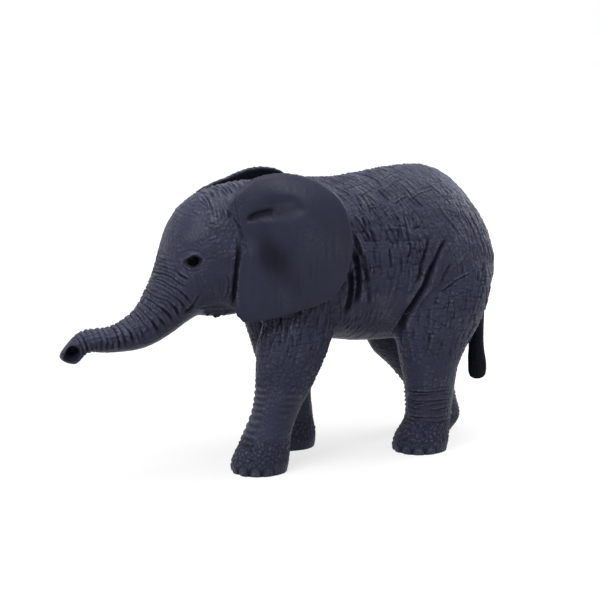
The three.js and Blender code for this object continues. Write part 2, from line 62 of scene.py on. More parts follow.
# Each lamp's place, width and power.
LAMP_PLACES = {
    "key_lamp": ((-240.0, -200.0, 380.0), 240.0, 1.25),
    "top_lamp": ((40.0, 30.0, 480.0), 380.0, 1.2),
    "rim_lamp": ((330.0, 60.0, 230.0), 260.0, 0.8),
    "fill_lamp": ((140.0, -400.0, 120.0), 320.0, 0.12),
}


def add(tree, kind, **settings):
    """Adds a node with these settings to a node tree."""
    node = tree.nodes.new(kind)
    for name, value in settings.items():
        setattr(node, name, value)
    return node


def give(socket, value):
    """Links a socket to the output that feeds it, or else stores a value in it."""
    if isinstance(value, bpy.types.NodeSocket):
        socket.id_data.links.new(value, socket)
    else:
        socket.default_value = value


def tune(node, **values):
    """Gives a node's sockets these values or links by name."""
    for name, value in values.items():
        give(node.inputs[name.replace("_", " ")], value)
    return node


def compute(tree, operation, *terms, kind="ShaderNodeMath"):
    """The first output of a Math node that is given these terms in order."""
    node = add(tree, kind, operation=operation)
    for socket, term in zip(node.inputs, terms):
        give(socket, term)
    return node.outputs[0]


def spread(tree, value, **limits):
    """The output of a Map Range node that brings a value between new limits."""
    return tune(add(tree, "ShaderNodeMapRange"), Value=value, **limits).outputs["Result"]


def blend(tree, share, first, second, kind="MIX"):
    """The colour between two colours at this share of the second."""
    node = add(tree, "ShaderNodeMix", data_type="RGBA", blend_type=kind)
    return tune(node, Factor=share, A=first, B=second).outputs["Result"]


def backdrop_rays(tree):
    """A socket that is 1 for camera, glossy and transmission rays, which see the white backdrop."""
    ray = add(tree, "ShaderNodeLightPath").outputs
    bent = compute(tree, "MAXIMUM", ray["Is Glossy Ray"], ray["Is Transmission Ray"])
    return compute(tree, "MAXIMUM", ray["Is Camera Ray"], bent)


camera_data = bpy.data.cameras.new("photo_camera")
camera_data.sensor_width = SENSOR_WIDTH
camera_data.lens = SENSOR_WIDTH * CAMERA_DISTANCE / CAMERA_FRAME
camera_data.clip_start = CAMERA_NEAREST * MM
camera = bpy.data.objects.new("photo_camera", camera_data)
away = Vector((
    math.sin(CAMERA_AZIMUTH) * math.cos(CAMERA_ELEVATION),
    -math.cos(CAMERA_AZIMUTH) * math.cos(CAMERA_ELEVATION),
    math.sin(CAMERA_ELEVATION),
))
camera.location = (CAMERA_TARGET + away * CAMERA_DISTANCE) * MM
camera.rotation_euler = away.to_track_quat("Z", "Y").to_euler()
scene.collection.objects.link(camera)
scene.camera = camera
scene.view_settings.view_transform = "Standard"

bpy.ops.mesh.primitive_plane_add(size=2 * FLOOR_HALF_WIDTH * MM)
floor = bpy.context.object
floor.name = "floor"
floor_look = bpy.data.materials.new("pale_floor")
floor_look.use_nodes = True
tree = floor_look.node_tree
tree.nodes.clear()
floor_place = add(tree, "ShaderNodeTexCoord").outputs["Object"]
floor_reach = tune(add(tree, "ShaderNodeVectorMath", operation="LENGTH"), Vector=floor_place)
floor_fade = spread(
    tree,
    floor_reach.outputs["Value"],
    From_Min=FLOOR_DIM_REACH * MM,
    From_Max=FLOOR_WHITE_REACH * MM,
    To_Min=FLOOR_DIM,
)
floor_seen = compute(tree, "MULTIPLY", backdrop_rays(tree), floor_fade)
floor_paint = tune(add(tree, "ShaderNodeBsdfDiffuse"), Color=FLOOR_GREY)
floor_lift = tune(add(tree, "ShaderNodeEmission"), Color=WHITE, Strength=floor_seen)
floor_sum = add(tree, "ShaderNodeAddShader")
give(floor_sum.inputs[0], floor_paint.outputs[0])
give(floor_sum.inputs[1], floor_lift.outputs[0])
tune(add(tree, "ShaderNodeOutputMaterial"), Surface=floor_sum.outputs[0])
floor.data.materials.append(floor_look)

world = bpy.data.worlds.new("white_sky")
world.use_nodes = True
scene.world = world
tree = world.node_tree
tree.nodes.clear()
sky_light = tune(add(tree, "ShaderNodeBackground"), Color=WHITE, Strength=SKY_LIGHT)
sky_seen = tune(add(tree, "ShaderNodeBackground"), Color=WHITE, Strength=1.0)
sky_mix = tune(add(tree, "ShaderNodeMixShader"), Fac=backdrop_rays(tree))
give(sky_mix.inputs[1], sky_light.outputs[0])
give(sky_mix.inputs[2], sky_seen.outputs[0])
tune(add(tree, "ShaderNodeOutputWorld"), Surface=sky_mix.outputs[0])

for lamp_name, (place, width, power) in LAMP_PLACES.items():
    lamp_data = bpy.data.lights.new(lamp_name, "AREA")
    lamp_data.size = width * MM
    lamp_data.energy = power
    lamp = bpy.data.objects.new(lamp_name, lamp_data)
    lamp.location = Vector(place) * MM
    aim = Vector(place) - CAMERA_TARGET
    lamp.rotation_euler = aim.to_track_quat("Z", "Y").to_euler()
    scene.collection.objects.link(lamp)


# Hide. Torso, head, trunk and legs are cast in slate grey PVC from one modelled master, so a single
# wrinkled skin runs over their joints. It is grown here over the six solids, folded and creased as
# one, and then cut along their seats into six pieces.
HIDE_SOLIDS = ("torso", "head", "foreleg_left", "foreleg_right", "hindleg_left", "hindleg_right")
SOCKET_FILL = ("eye_left", "eye_right")
SEAM_FILL = 0.2
HIDE_GRAIN = 0.39
HIDE_SOFTNESS = 10
SOLE_FLAT = 0.25
TRUNK_WEAR = 14
FOOT_WEAR = 40
TRUNK_FILL = 0.12
FOOT_FILL = 0.1
OWNER_SOFTNESS = 24


def welded_copy(solid, swell):
    """A welded copy of a CAD solid's mesh as a new object, pushed out along its normals."""
    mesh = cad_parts[solid].data.copy()
    mesh.materials.clear()
    weld = bmesh.new()
    weld.from_mesh(mesh)
    bmesh.ops.remove_doubles(weld, verts=weld.verts, dist=0.001 * MM)
    bmesh.ops.recalc_face_normals(weld, faces=weld.faces)
    weld.normal_update()
    for vert in weld.verts:
        vert.co += vert.normal * (swell * MM)
    weld.to_mesh(mesh)
    weld.free()
    copy = bpy.data.objects.new(solid + "_work", mesh)
    scene.collection.objects.link(copy)
    return copy


def pick(*objects):
    """Selects these objects alone; the last one is active."""
    bpy.ops.object.select_all(action="DESELECT")
    for one in objects:
        one.select_set(True)
    bpy.context.view_layer.objects.active = objects[-1]


def apply_modifier(piece, kind, **settings):
    """Adds a modifier with these settings to a piece and applies it."""
    pick(piece)
    modifier = piece.modifiers.new(kind.lower(), kind)
    for name, value in settings.items():
        setattr(modifier, name, value)
    bpy.ops.object.modifier_apply(modifier=modifier.name)


def points_of(piece):
    """A piece's points in millimetres."""
    flat = np.empty(len(piece.data.vertices) * 3, dtype=np.float32)
    piece.data.vertices.foreach_get("co", flat)
    return flat.reshape(-1, 3).astype(np.float64) / MM


def normals_of(piece):
    """A piece's smooth normals."""
    flat = np.empty(len(piece.data.vertices) * 3, dtype=np.float32)
    piece.data.vertex_normals.foreach_get("vector", flat)
    return flat.reshape(-1, 3).astype(np.float64)


def set_points(piece, points):
    """Moves a piece's points to these places in millimetres."""
    piece.data.vertices.foreach_set("co", (points * MM).astype(np.float32).ravel())
    piece.data.update()


def set_mask(piece, name, values):
    """Stores one value per point on a piece for its material."""
    mask = piece.data.attributes.get(name) or piece.data.attributes.new(name, "FLOAT", "POINT")
    mask.data.foreach_set("value", np.ascontiguousarray(values, dtype=np.float32))


def mask_of(piece, name):
    """Reads one value per point back from a piece."""
    values = np.empty(len(piece.data.vertices), dtype=np.float32)
    piece.data.attributes[name].data.foreach_get("value", values)
    return values.astype(float)


def ease(values, low, high):
    """0 below low, 1 above high and a soft step between them."""
    share = np.clip((values - low) / (high - low), 0.0, 1.0)
    return share * share * (3.0 - 2.0 * share)


def scatter(i, j, k, seed):
    """An even random number from 0 to 1 for each whole-numbered cell."""
    mixed = (i * 374761393 + j * 668265263 + k * 1440662683 + seed * 974634777) & 0xFFFFFFFF
    mixed = ((mixed ^ (mixed >> 13)) * 1274126177) & 0xFFFFFFFF
    mixed = mixed ^ (mixed >> 16)
    return (mixed & 0xFFFFFF) / float(0x1000000)


def drift(points, size, seed):
    """Smooth random drift from -1 to 1 with waves of about this size."""
    place = points / size
    cell = np.floor(place).astype(np.int64)
    share = place - cell
    share = share * share * (3.0 - 2.0 * share)
    total = np.zeros(len(points))
    for i, j, k in np.ndindex(2, 2, 2):
        weight = share[:, 0] if i else 1.0 - share[:, 0]
        weight = weight * (share[:, 1] if j else 1.0 - share[:, 1])
        weight = weight * (share[:, 2] if k else 1.0 - share[:, 2])
        total += weight * scatter(cell[:, 0] + i, cell[:, 1] + j, cell[:, 2] + k, seed)
    return 2.0 * total - 1.0


def skin_cells(points, seed, looseness=0.8):
    """How far each point is inside its skin cell: 0 on the border and about 0.5 in the middle."""
    home = np.floor(points).astype(np.int64)
    nearest = np.full(len(points), 9.0)
    second = nearest.copy()
    for i, j, k in np.ndindex(3, 3, 3):
        cell = home + np.array([i - 1, j - 1, k - 1])
        gap = np.zeros(len(points))
        for axis in range(3):
            jump = looseness * (scatter(cell[:, 0], cell[:, 1], cell[:, 2], seed + axis) - 0.5)
            gap += (cell[:, axis] + 0.5 + jump - points[:, axis]) ** 2
        second = np.minimum(second, np.maximum(nearest, gap))
        nearest = np.minimum(nearest, gap)
    return np.sqrt(second) - np.sqrt(nearest)


def strokes(across, along, pitch, length, width, lean, seed):
    """Short tooled strokes, one or so to each cell of pitch by length: how deep each point lies in
    one, from 0 to 1, and how high it lies on the lip that is pushed up beside one."""
    column = np.floor(across / pitch).astype(np.int64)
    row = np.floor(along / length).astype(np.int64)
    deepest = np.zeros(len(across))
    highest = np.zeros(len(across))
    for i, j in np.ndindex(3, 3):
        at = column + i - 1
        up = row + j - 1
        beside = across - (at + 0.5 + 0.7 * (scatter(at, up, 1, seed) - 0.5)) * pitch
        ahead = along - (up + 0.5 + 0.7 * (scatter(at, up, 2, seed) - 0.5)) * length
        turn = lean * (2.0 * scatter(at, up, 3, seed) - 1.0)
        half = length * (0.25 + 0.4 * scatter(at, up, 4, seed))
        force = 0.35 + 0.65 * scatter(at, up, 5, seed)
        off = beside - turn * ahead + 0.25 * turn * ahead * ahead / half
        off = off * np.cos(turn)
        fade = np.clip(1.0 - (ahead / half) ** 2, 0.0, 1.0)
        deepest = np.maximum(deepest, force * fade * np.exp(-((off / width) ** 2)))
        highest = np.maximum(highest, force * fade * np.exp(-(((off - 2.0 * width) / width) ** 2)))
    return deepest, highest


def rounded(line, steps=6):
    """A smooth curve of points through the given ones."""
    line = np.array(line, dtype=float)
    padded = np.vstack([2 * line[0] - line[1], line, 2 * line[-1] - line[-2]])
    curve = []
    for a, b, c, d in zip(padded[:-3], padded[1:-2], padded[2:-1], padded[3:]):
        for step in range(steps):
            t = step / steps
            bend = (2 * a - 5 * b + 4 * c - d) * t * t + (3 * b - a - 3 * c + d) * t ** 3
            curve.append(0.5 * (2 * b + (c - a) * t + bend))
    curve.append(line[-1])
    return np.array(curve)


def off_line(flat_points, line):
    """Signed distance from each (x, z) point to a line of (x, z) points, and its share along it."""
    best = np.full(len(flat_points), 1e9)
    signed = np.zeros(len(flat_points))
    along = np.zeros(len(flat_points))
    lengths = np.hypot(*np.diff(line, axis=0).T)
    reached = 0.0
    for start, end, length in zip(line[:-1], line[1:], lengths):
        step = (end - start) / length
        share = np.clip((flat_points - start) @ step, 0.0, length)
        gap = flat_points - start - share[:, None] * step
        size = np.einsum("ij,ij->i", gap, gap)
        closer = size < best
        best = np.where(closer, size, best)
        side = np.sign(gap[:, 0] * step[1] - gap[:, 1] * step[0])
        signed = np.where(closer, side * np.sqrt(size), signed)
        along = np.where(closer, reached + share, along)
        reached += length
    return signed, along / reached


# The trunk's tip opens to its left and down in one pointed hollow, under a finger.
NOSTRIL_MOUTH = (-44.0, -3.0, 24.8)
NOSTRIL_FLOOR = (-43.2, 0.9, 25.5)
NOSTRIL_RADIUS = 1.5

work = [welded_copy(solid, SEAM_FILL) for solid in SOCKET_FILL + HIDE_SOLIDS]
pick(*work)
bpy.ops.object.join()
hide = bpy.context.object
hide.name = "hide_master"
apply_modifier(hide, "REMESH", mode="VOXEL", voxel_size=HIDE_GRAIN * MM)
nostril_line = Vector(NOSTRIL_FLOOR) - Vector(NOSTRIL_MOUTH)
bpy.ops.object.select_all(action="DESELECT")
bpy.ops.mesh.primitive_cone_add(
    vertices=12,
    radius1=NOSTRIL_RADIUS * MM,
    radius2=0.7 * NOSTRIL_RADIUS * MM,
    depth=nostril_line.length * MM,
    location=(Vector(NOSTRIL_FLOOR) + Vector(NOSTRIL_MOUTH)) * 0.5 * MM,
    rotation=nostril_line.to_track_quat("Z", "Y").to_euler(),
)
nostril = bpy.context.object
apply_modifier(hide, "BOOLEAN", operation="DIFFERENCE", object=nostril, solver="MANIFOLD")
bpy.data.objects.remove(nostril)
apply_modifier(hide, "REMESH", mode="VOXEL", voxel_size=HIDE_GRAIN * MM)
apply_modifier(hide, "SMOOTH", factor=0.5, iterations=HIDE_SOFTNESS)

# The solids' own rings and nails are worn away here, because finer ones are cut below.
edge_ends = np.empty(len(hide.data.edges) * 2, dtype=np.int32)
hide.data.edges.foreach_get("vertices", edge_ends)
edge_ends = edge_ends.reshape(-1, 2)
retouched = points_of(hide)
worn_out = normals_of(hide)
edge_count = np.bincount(edge_ends.ravel(), minlength=len(retouched)).astype(float)


def beside_each(values):
    """The mean of each point's neighbours."""
    total = np.bincount(edge_ends[:, 0], values[edge_ends[:, 1]], len(values))
    total += np.bincount(edge_ends[:, 1], values[edge_ends[:, 0]], len(values))
    return total / edge_count


at_foot = (retouched[:, 2] > 0.2) * (1.0 - ease(retouched[:, 2], 3.5, 5.0))
at_trunk = (1.0 - ease(retouched[:, 0] + 0.2 * retouched[:, 2], -18.5, -15.0)) * ease(retouched[:, 0], -43.5, -41.5)
for step in range(FOOT_WEAR):
    share = at_foot if step >= TRUNK_WEAR else at_foot + at_trunk
    for axis in ((0, 1) if step >= TRUNK_WEAR else (0, 1, 2)):
        share_here = at_trunk if axis == 2 else share
        retouched[:, axis] += 0.6 * share_here * (beside_each(retouched[:, axis]) - retouched[:, axis])
retouched += worn_out * (TRUNK_FILL * at_trunk + FOOT_FILL * at_foot)[:, None]
retouched[:, 2] = np.maximum(retouched[:, 2], 0.0)
set_points(hide, retouched)

# Which solid each point of the skin belongs to, softened where two of them meet.
corner_points = []
corner_faces = []
face_owner = []
for index, solid in enumerate(HIDE_SOLIDS):
    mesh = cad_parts[solid].data
    first = len(corner_points)
    corner_points.extend(vert.co.copy() for vert in mesh.vertices)
    for face in mesh.polygons:
        corner_faces.append([first + corner for corner in face.vertices])
        face_owner.append(index)
solid_tree = BVHTree.FromPolygons(corner_points, corner_faces)
owner = np.array([face_owner[solid_tree.find_nearest(vert.co)[2]] for vert in hide.data.vertices])
for index, solid in enumerate(HIDE_SOLIDS):
    belongs = (owner == index).astype(float)
    for step in range(OWNER_SOFTNESS):
        belongs = 0.4 * belongs + 0.6 * beside_each(belongs)
    set_mask(hide, "of_" + solid, belongs)
apply_modifier(hide, "SUBSURF", levels=1, render_levels=1)

skin = points_of(hide)
outward = normals_of(hide)
x, y, z = skin.T
own = {}
for solid in HIDE_SOLIDS:
    own[solid] = mask_of(hide, "of_" + solid)
    hide.data.attributes.remove(hide.data.attributes["of_" + solid])
height = np.zeros(len(skin))
dark = np.zeros(len(skin))
# Painted highlights for the raised tops gather here.
crest_highlight = np.zeros(len(skin))
side_on = np.stack([x, z], axis=1)
facing_side = ease(np.abs(outward[:, 1]), 0.05, 0.35)


def zone(weight):
    """The points where a zone of the skin has any weight."""
    return np.flatnonzero(weight > 0.01)


def mark(where, weight, marks, depth, wash_and_shade, lips=None, lip_share=0.4):
    """Cuts marks into the skin to this depth, darkened by a share of dark tint and painted shade, with lips
    beside.
    """
    height[where] -= weight * marks * depth
    dark[where] += weight * marks * wash_and_shade
    if lips is not None:
        height[where] += weight * lips * depth * lip_share


def tooled(where, weight, across, along, tool, seed):
    """Cuts strokes with a tool: its pitch, length, width and lean, then depth, share of dark tint and
    painted shade, and lip share.
    """
    pitch, length, width, lean, depth, wash_and_shade, lip_share = tool
    lines, lips = strokes(across, along, pitch, length, width, lean, seed)
    mark(where, weight, lines, depth, wash_and_shade, lips, lip_share)


def pebbled(where, weight, cells, bulge, rim, level, wash_and_shade=0.0, crack=0.2):
    """Swells skin cells by this bulge above a level, over a soft rim, with dark tint and painted shade in
    their cracks.
    """
    height[where] += weight * bulge * (ease(cells, 0.0, rim) - level)
    dark[where] += weight * wash_and_shade * (1.0 - ease(cells, 0.0, crack))


def carve(flat, weight, line, depth, width, wash_and_shade, lip=0.4):
    """Carves one line of (x, z) points into the skin wherever the weight allows it."""
    curve = rounded(line)
    low = curve.min(axis=0) - 4.0 * width
    high = curve.max(axis=0) + 4.0 * width
    near = np.flatnonzero((weight > 0.01) & np.all((flat > low) & (flat < high), axis=1))
    off, share = off_line(flat[near], curve)
    fade = ease(share, -0.02, 0.2) * (1.0 - ease(share, 0.8, 1.02))
    groove = fade * np.exp(-((off / width) ** 2))
    rim = fade * np.exp(-(((np.abs(off) - 2.1 * width) / width) ** 2))
    mark(near, weight[near], groove, depth, wash_and_shade, rim, lip if width < 0.3 else 0.35 * lip)


# Trunk and face. Rings run round the trunk from between the eyes to its tip, closer together and
# finer towards the tip, deep over its top and faint under it.
TRUNK_LINE = [(-9.8, 47.5), (-16.8, 45.0), (-21.3, 41.0), (-24.8, 36.0), (-29.3, 30.9),
              (-34.8, 27.8), (-39.8, 27.0), (-43.3, 25.6), (-45.8, 23.8)]
TRUNK_HALF_BASE = 5.6
TRUNK_HALF_TIP = 2.7
RING_PITCH_BASE = 1.95
RING_PITCH_TIP = 0.85
RING_WIDTH = 0.16
RING_LIP_PLACE = 0.36
RING_LIP_WIDTH = 0.17
RING_DEPTH = 0.25
RING_WASH_AND_SHADE = 0.75
HALF_RING_WIDTH = 0.15
HALF_RING_DEPTH = 0.14
HALF_RING_WASH_AND_SHADE = 0.4
NOTCH_WIDTH = 0.26
NOTCH_DEPTH = 0.2
NOTCH_WASH_AND_SHADE = 0.8
# Each tool's pitch, length, width and lean, then the depth, share of dark wash and painted shade, and lip
# share of its strokes.
FACE_TOOLS = {
    "trunk": (0.8, 1.2, 0.14, 0.6, 0.15, 0.3, 0.8),
    "brow": (1.05, 2.0, 0.22, 0.6, 0.17, 0.28, 0.7),
    "crown": (0.72, 4.8, 0.15, 0.1, 0.4, 0.75, 0.8),
    "crown_between": (0.9, 3.4, 0.14, 0.1, 0.26, 0.45, 0.7),
    "temple": (1.0, 1.6, 0.15, 0.7, 0.12, 0.26, 0.7),
    "nape": (0.66, 4.4, 0.15, 0.12, 0.32, 0.6, 0.7),
    "cheek": (1.5, 4.5, 0.2, 0.3, 0.14, 0.24, 0.4),
}
spine = rounded(TRUNK_LINE)
trunk_length = np.hypot(*np.diff(spine, axis=0).T).sum()
here = zone(own["head"])
over, reach = off_line(side_on[here], spine)
reach = reach * trunk_length
head_skin = skin[here]
forward, across, level = head_skin.T
round_trunk = np.stack([reach, across, over], axis=1)
pitch_growth = RING_PITCH_TIP - RING_PITCH_BASE
pitch_at = RING_PITCH_BASE + pitch_growth * reach / trunk_length
ring_phase = trunk_length / pitch_growth * np.log(pitch_at / RING_PITCH_BASE)
ring_phase += 0.5 * drift(round_trunk, 4.5, 11) + 0.2 * drift(round_trunk, 1.8, 12)
ring = np.round(ring_phase)
ring_off = np.abs(ring_phase - ring) * pitch_at
ring_seed = np.stack([ring * 2.3, across / 3.0, over / 3.0], axis=1)
ring_force = np.clip(0.7 + 0.8 * drift(ring_seed, 1.0, 13), 0.1, 1.2)
ring_line = np.exp(-((ring_off / RING_WIDTH) ** 2)) * ring_force
ring_lip = np.exp(-(((ring_off - RING_LIP_PLACE) / RING_LIP_WIDTH) ** 2)) * ring_force
trunk_half = TRUNK_HALF_BASE + (TRUNK_HALF_TIP - TRUNK_HALF_BASE) * ease(reach, 14.0, 34.0)
height_share = over / trunk_half
under = 1.0 - ease(height_share, -1.15, -0.45)
snout = 1.0 - ease(forward + 0.375 * (level - 33.0), -21.8, -20.0)
upper_side = ease(over, 2.0, 5.0)
on_trunk = own["head"][here] * ease(reach, 12.0 - 3.0 * upper_side, 17.0 - 3.5 * upper_side) * snout
on_trunk *= 1.0 - ease(reach, trunk_length - 4.8, trunk_length - 2.8)
mark(here, on_trunk * (1.0 - under), ring_line, RING_DEPTH, RING_WASH_AND_SHADE, ring_lip, 0.5)
between = ring_phase + 0.5 + 0.16 * drift(round_trunk, 2.0, 14)
between_line = np.exp(-(((between - np.round(between)) * pitch_at / HALF_RING_WIDTH) ** 2))
between_line *= ease(drift(round_trunk, 2.6, 15), -0.1, 0.4)
mark(here, on_trunk * ease(height_share, -0.6, 0.1), between_line, HALF_RING_DEPTH, HALF_RING_WASH_AND_SHADE)
round_it = across * 1.2 + 0.4 * over
tooled(here, on_trunk * (1.0 - 0.6 * under), round_it, reach, FACE_TOOLS["trunk"], 16)
notch = np.exp(-((ring_off / NOTCH_WIDTH) ** 2)) * ring_force
notch *= np.exp(-(((height_share + 0.4) / 0.3) ** 2))
mark(here, on_trunk * ease(reach, 17.0, 21.0), notch, NOTCH_DEPTH, NOTCH_WASH_AND_SHADE)

# Forehead, crown, temple, nape and cheeks.
on_face = own["head"][here] * (1.0 - ease(reach, 13.0, 18.0))
astride = np.abs(across)
smooth_patch = np.exp(
    -(((forward + 20.8) / 2.6) ** 4)
    - ((level - 47.2) / 4.0) ** 4
    - ((astride - 6.0) / 4.0) ** 4
)
brow = on_face * ease(level, 43.0, 47.0) * (1.0 - ease(forward, -18.0, -14.5)) * (1.0 - smooth_patch)
tooled(here, brow, level + 0.25 * forward, forward - 0.25 * level, FACE_TOOLS["brow"], 19)
stretched = head_skin @ np.array([[0.5, 0.0, 0.3], [0.0, 1.0, 0.0], [-0.3, 0.0, 1.0]])
lumps = skin_cells(stretched + 0.5 * drift(head_skin, 1.5, 20)[:, None], 21)
pebbled(here, brow, lumps, 0.1, 0.5, 0.45, 0.15)
crown = on_face * ease(level, 49.5, 52.5) * ease(forward, -19.0, -16.0)
down_side = 10.0 * np.arctan2(astride, level - 44.0)
fore_aft = forward - 0.08 * down_side
tooled(here, crown, fore_aft, down_side, FACE_TOOLS["crown"], 23)
tooled(here, crown, fore_aft + 0.4, down_side + 2.0, FACE_TOOLS["crown_between"], 17)
temple = on_face * ease(forward, -19.5, -17.0) * (1.0 - ease(level, 50.0, 53.0)) * ease(level, 40.5, 43.5)
cells = skin_cells(head_skin + 0.4 * drift(head_skin, 1.6, 27)[:, None], 28)
pebbled(here, temple, cells, 0.07, 0.4, 0.8, 0.12)
tooled(here, temple, forward - 0.2 * level, level + 0.2 * forward, FACE_TOOLS["temple"], 22)
nape = on_face * ease(forward, -15.8, -13.8) * (1.0 - ease(level, 51.5, 53.5)) * ease(level, 46.0, 48.0)
tooled(here, nape, forward + 0.28 * level, level - 0.28 * forward, FACE_TOOLS["nape"], 24)
pebbled(here, on_face * (1.0 - smooth_patch), skin_cells(head_skin / 0.85, 25), 0.05, 0.45, 0.7)
cheek = on_face * (1.0 - ease(level, 41.5, 44.0)) * ease(level, 33.5, 35.0)
tooled(here, cheek, forward + 0.25 * level, level - 0.25 * forward, FACE_TOOLS["cheek"], 26)
height[here] += on_face * 0.09 * drift(head_skin, 2.8, 29)
# Painted highlights: random patches over the brow and the upper side of the trunk are lightened.
patches = ease(drift(head_skin, 1.7, 18) + 0.5 * drift(head_skin, 0.7, 10), 0.1, 0.7)
crest_highlight[here] += patches * (0.09 * brow + 0.07 * on_trunk * ease(height_share, -0.2, 0.5))

# Eyelids, pouches, mouth and jaw. The eye lies in a dark almond between two thin lids.
EYE_PLACE = (-21.4, 42.8)
head_side = own["head"] * facing_side * ease(np.abs(y), 2.0, 4.5)
here = zone(head_side)
weight = head_side[here]
eye_across = (x[here] - EYE_PLACE[0]) / 1.3
eye_up = (z[here] - EYE_PLACE[1] - 0.12 * (x[here] - EYE_PLACE[0])) / 0.98
almond = np.hypot(eye_across, eye_up * (1.0 + 0.35 * np.minimum(eye_across * eye_across, 1.6)))
lid = np.exp(-(((almond - 1.32) / 0.2) ** 2))
socket = 1.0 - ease(almond, 0.85, 1.1)
height[here] += weight * (0.07 * lid - 0.8 * socket)
dark[here] += weight * 1.6 * (1.0 - ease(almond, 1.15, 1.4))
# Lids, pouches, lips and cheek folds as (x, z) places, then depth, width and share of dark wash and painted
# shade.
FACE_LINES = [
    ([(-23.4, 42.0), (-22.6, 41.2), (-21.3, 40.9), (-20.0, 41.4)], 0.12, 0.16, 0.25),
    ([(-23.4, 43.9), (-22.2, 44.7), (-20.4, 44.6), (-19.2, 43.6)], 0.08, 0.18, 0.12),
    ([(-24.1, 40.4), (-23.5, 39.9), (-22.3, 39.2)], 0.4, 0.2, 1.0),
    ([(-24.9, 39.2), (-23.8, 38.2), (-22.6, 37.7)], 0.22, 0.2, 0.4),
    ([(-19.2, 42.9), (-18.0, 43.3), (-16.9, 43.1)], 0.12, 0.18, 0.15),
    ([(-22.3, 32.3), (-21.6, 33.0), (-20.9, 33.9)], 0.7, 0.3, 1.5),
    ([(-21.2, 33.5), (-20.5, 35.0), (-20.0, 36.2)], 0.26, 0.24, 0.45),
    ([(-19.4, 32.6), (-17.2, 32.7), (-15.2, 32.5), (-13.4, 32.6)], -0.16, 0.18, 0.0),
    ([(-19.8, 33.2), (-17.2, 33.3), (-15.2, 33.1), (-13.4, 33.2)], 0.12, 0.2, 0.25),
    # The dark line down the head beside the ear's front edge is painted shade between the parts.
    ([(-12.8, 46.6), (-12.8, 44.9), (-13.0, 42.4), (-13.2, 39.6), (-13.1, 36.6), (-12.5, 32.9)],
     0.6, 0.42, 1.4),
    ([(-15.0, 40.0), (-14.4, 37.8), (-14.6, 35.2)], 0.1, 0.2, 0.2),
    ([(-16.2, 39.2), (-15.5, 37.4), (-15.7, 35.4)], 0.08, 0.2, 0.15),
]
for line, depth, width, wash_and_shade in FACE_LINES:
    carve(side_on, head_side, line, depth, width, wash_and_shade, 0.35)
WARTS = [(-17.3, 31.6), (-15.8, 31.3), (-15.1, 31.5), (-14.0, 31.6)]
for wart in WARTS:
    gap = np.hypot(np.hypot(x[here] - wart[0], z[here] - wart[1]), 0.8 * (np.abs(y[here]) - 4.1))
    height[here] += own["head"][here] * 0.8 * np.exp(-((gap / 0.42) ** 2))
    dark[here] += own["head"][here] * 0.8 * np.exp(-((gap / 0.6) ** 2))

# Painted shade: the nostril is darkened inside, where the skin faces its middle.
NOSTRIL_HEART = (-43.8, -1.2, 24.8)
to_heart = np.array(NOSTRIL_HEART) - skin
heart_gap = np.linalg.norm(to_heart, axis=1) + 1e-6
hollow = ease(np.einsum("ij,ij->i", to_heart, outward) / heart_gap, -0.15, 0.3)
dark = np.maximum(dark, 1.6 * hollow * (1.0 - ease(heart_gap, 1.9, 2.7)))

# Torso. Strokes slant back and down from the spine and hang steeper over the ribs, where level ones
# cross them in a grid. The rump has long thin lines, and the belly is smoother.
BARREL_MIDDLE = 41.0
BARREL_RADIUS = 14.0
SLANT_ARCS = [0.0, 10.0, 14.0, 18.0, 24.0, 44.0]
SLANT_SHIFTS = [0.0, 6.5, 8.4, 9.4, 9.6, 9.0]
RIGHT_SIDE_STEP = 300.0
TORSO_TOOLS = {
    "back": (0.85, 2.4, 0.15, 0.2, 0.22, 0.36, 0.8),
    "back_and_ribs": (2.0, 5.0, 0.16, 0.16, 0.34, 0.65, 0.8),
    "level": (1.3, 1.9, 0.15, 0.25, 0.22, 0.45, 0.8),
    "long_level": (3.4, 9.0, 0.16, 0.2, 0.24, 0.4, 0.6),
    "haunch": (1.7, 7.0, 0.15, 0.12, 0.12, 0.24, 0.8),
    "rump": (0.85, 6.0, 0.15, 0.07, 0.1, 0.2, 0.8),
    "crossing": (1.5, 4.0, 0.15, 0.5, 0.12, 0.22, 0.7),
    "belly": (2.2, 7.0, 0.22, 0.2, 0.16, 0.25, 0.4),
    "keel": (0.8, 1.8, 0.16, 0.2, 0.3, 0.5, 0.5),
}
PLATE_SIZE = (1.4, 2.5)
PLATE_DEPTH = 0.26
PLATE_WASH_AND_SHADE = 0.45
TAIL_ROOT_RISE = 0.45
here = zone(own["torso"])
sx, sy, sz = skin[here].T
hub = np.hypot(sy, sz - BARREL_MIDDLE) + 1e-6
round_torso = np.stack([sx, BARREL_RADIUS * sy / hub, BARREL_RADIUS * (sz - BARREL_MIDDLE) / hub], axis=1)
arc = BARREL_RADIUS * np.arctan2(np.abs(sy), sz - BARREL_MIDDLE)
side_step = np.where(sy > 0.0, RIGHT_SIDE_STEP, 0.0)
slanted = sx - np.interp(arc, SLANT_ARCS, SLANT_SHIFTS) + 0.55 * drift(round_torso, 6.0, 30)
down = arc + side_step
on_torso = own["torso"][here]
upper = on_torso * (1.0 - ease(arc, 13.0, 18.0)) * (1.0 - 0.7 * ease(sx, 20.0, 28.0))
ribs = on_torso * ease(arc, 12.0, 16.0) * (1.0 - ease(arc, 25.0, 30.0)) * (1.0 - ease(sx, 23.0, 29.0))
behind = on_torso * ease(sx, 22.0, 30.0)
below = on_torso * ease(arc, 25.0, 30.0)
tooled(here, upper, slanted, down, TORSO_TOOLS["back"], 31)
tooled(here, upper * 0.8 + ribs, slanted + 5.0, down, TORSO_TOOLS["back_and_ribs"], 32)
mid_layer = np.full(len(arc), 0.5)
plate_place = np.stack([slanted / PLATE_SIZE[0], down / PLATE_SIZE[1], mid_layer], axis=1)
plate_place[:, :2] += 0.1 * drift(round_torso, 1.3, 33)[:, None]
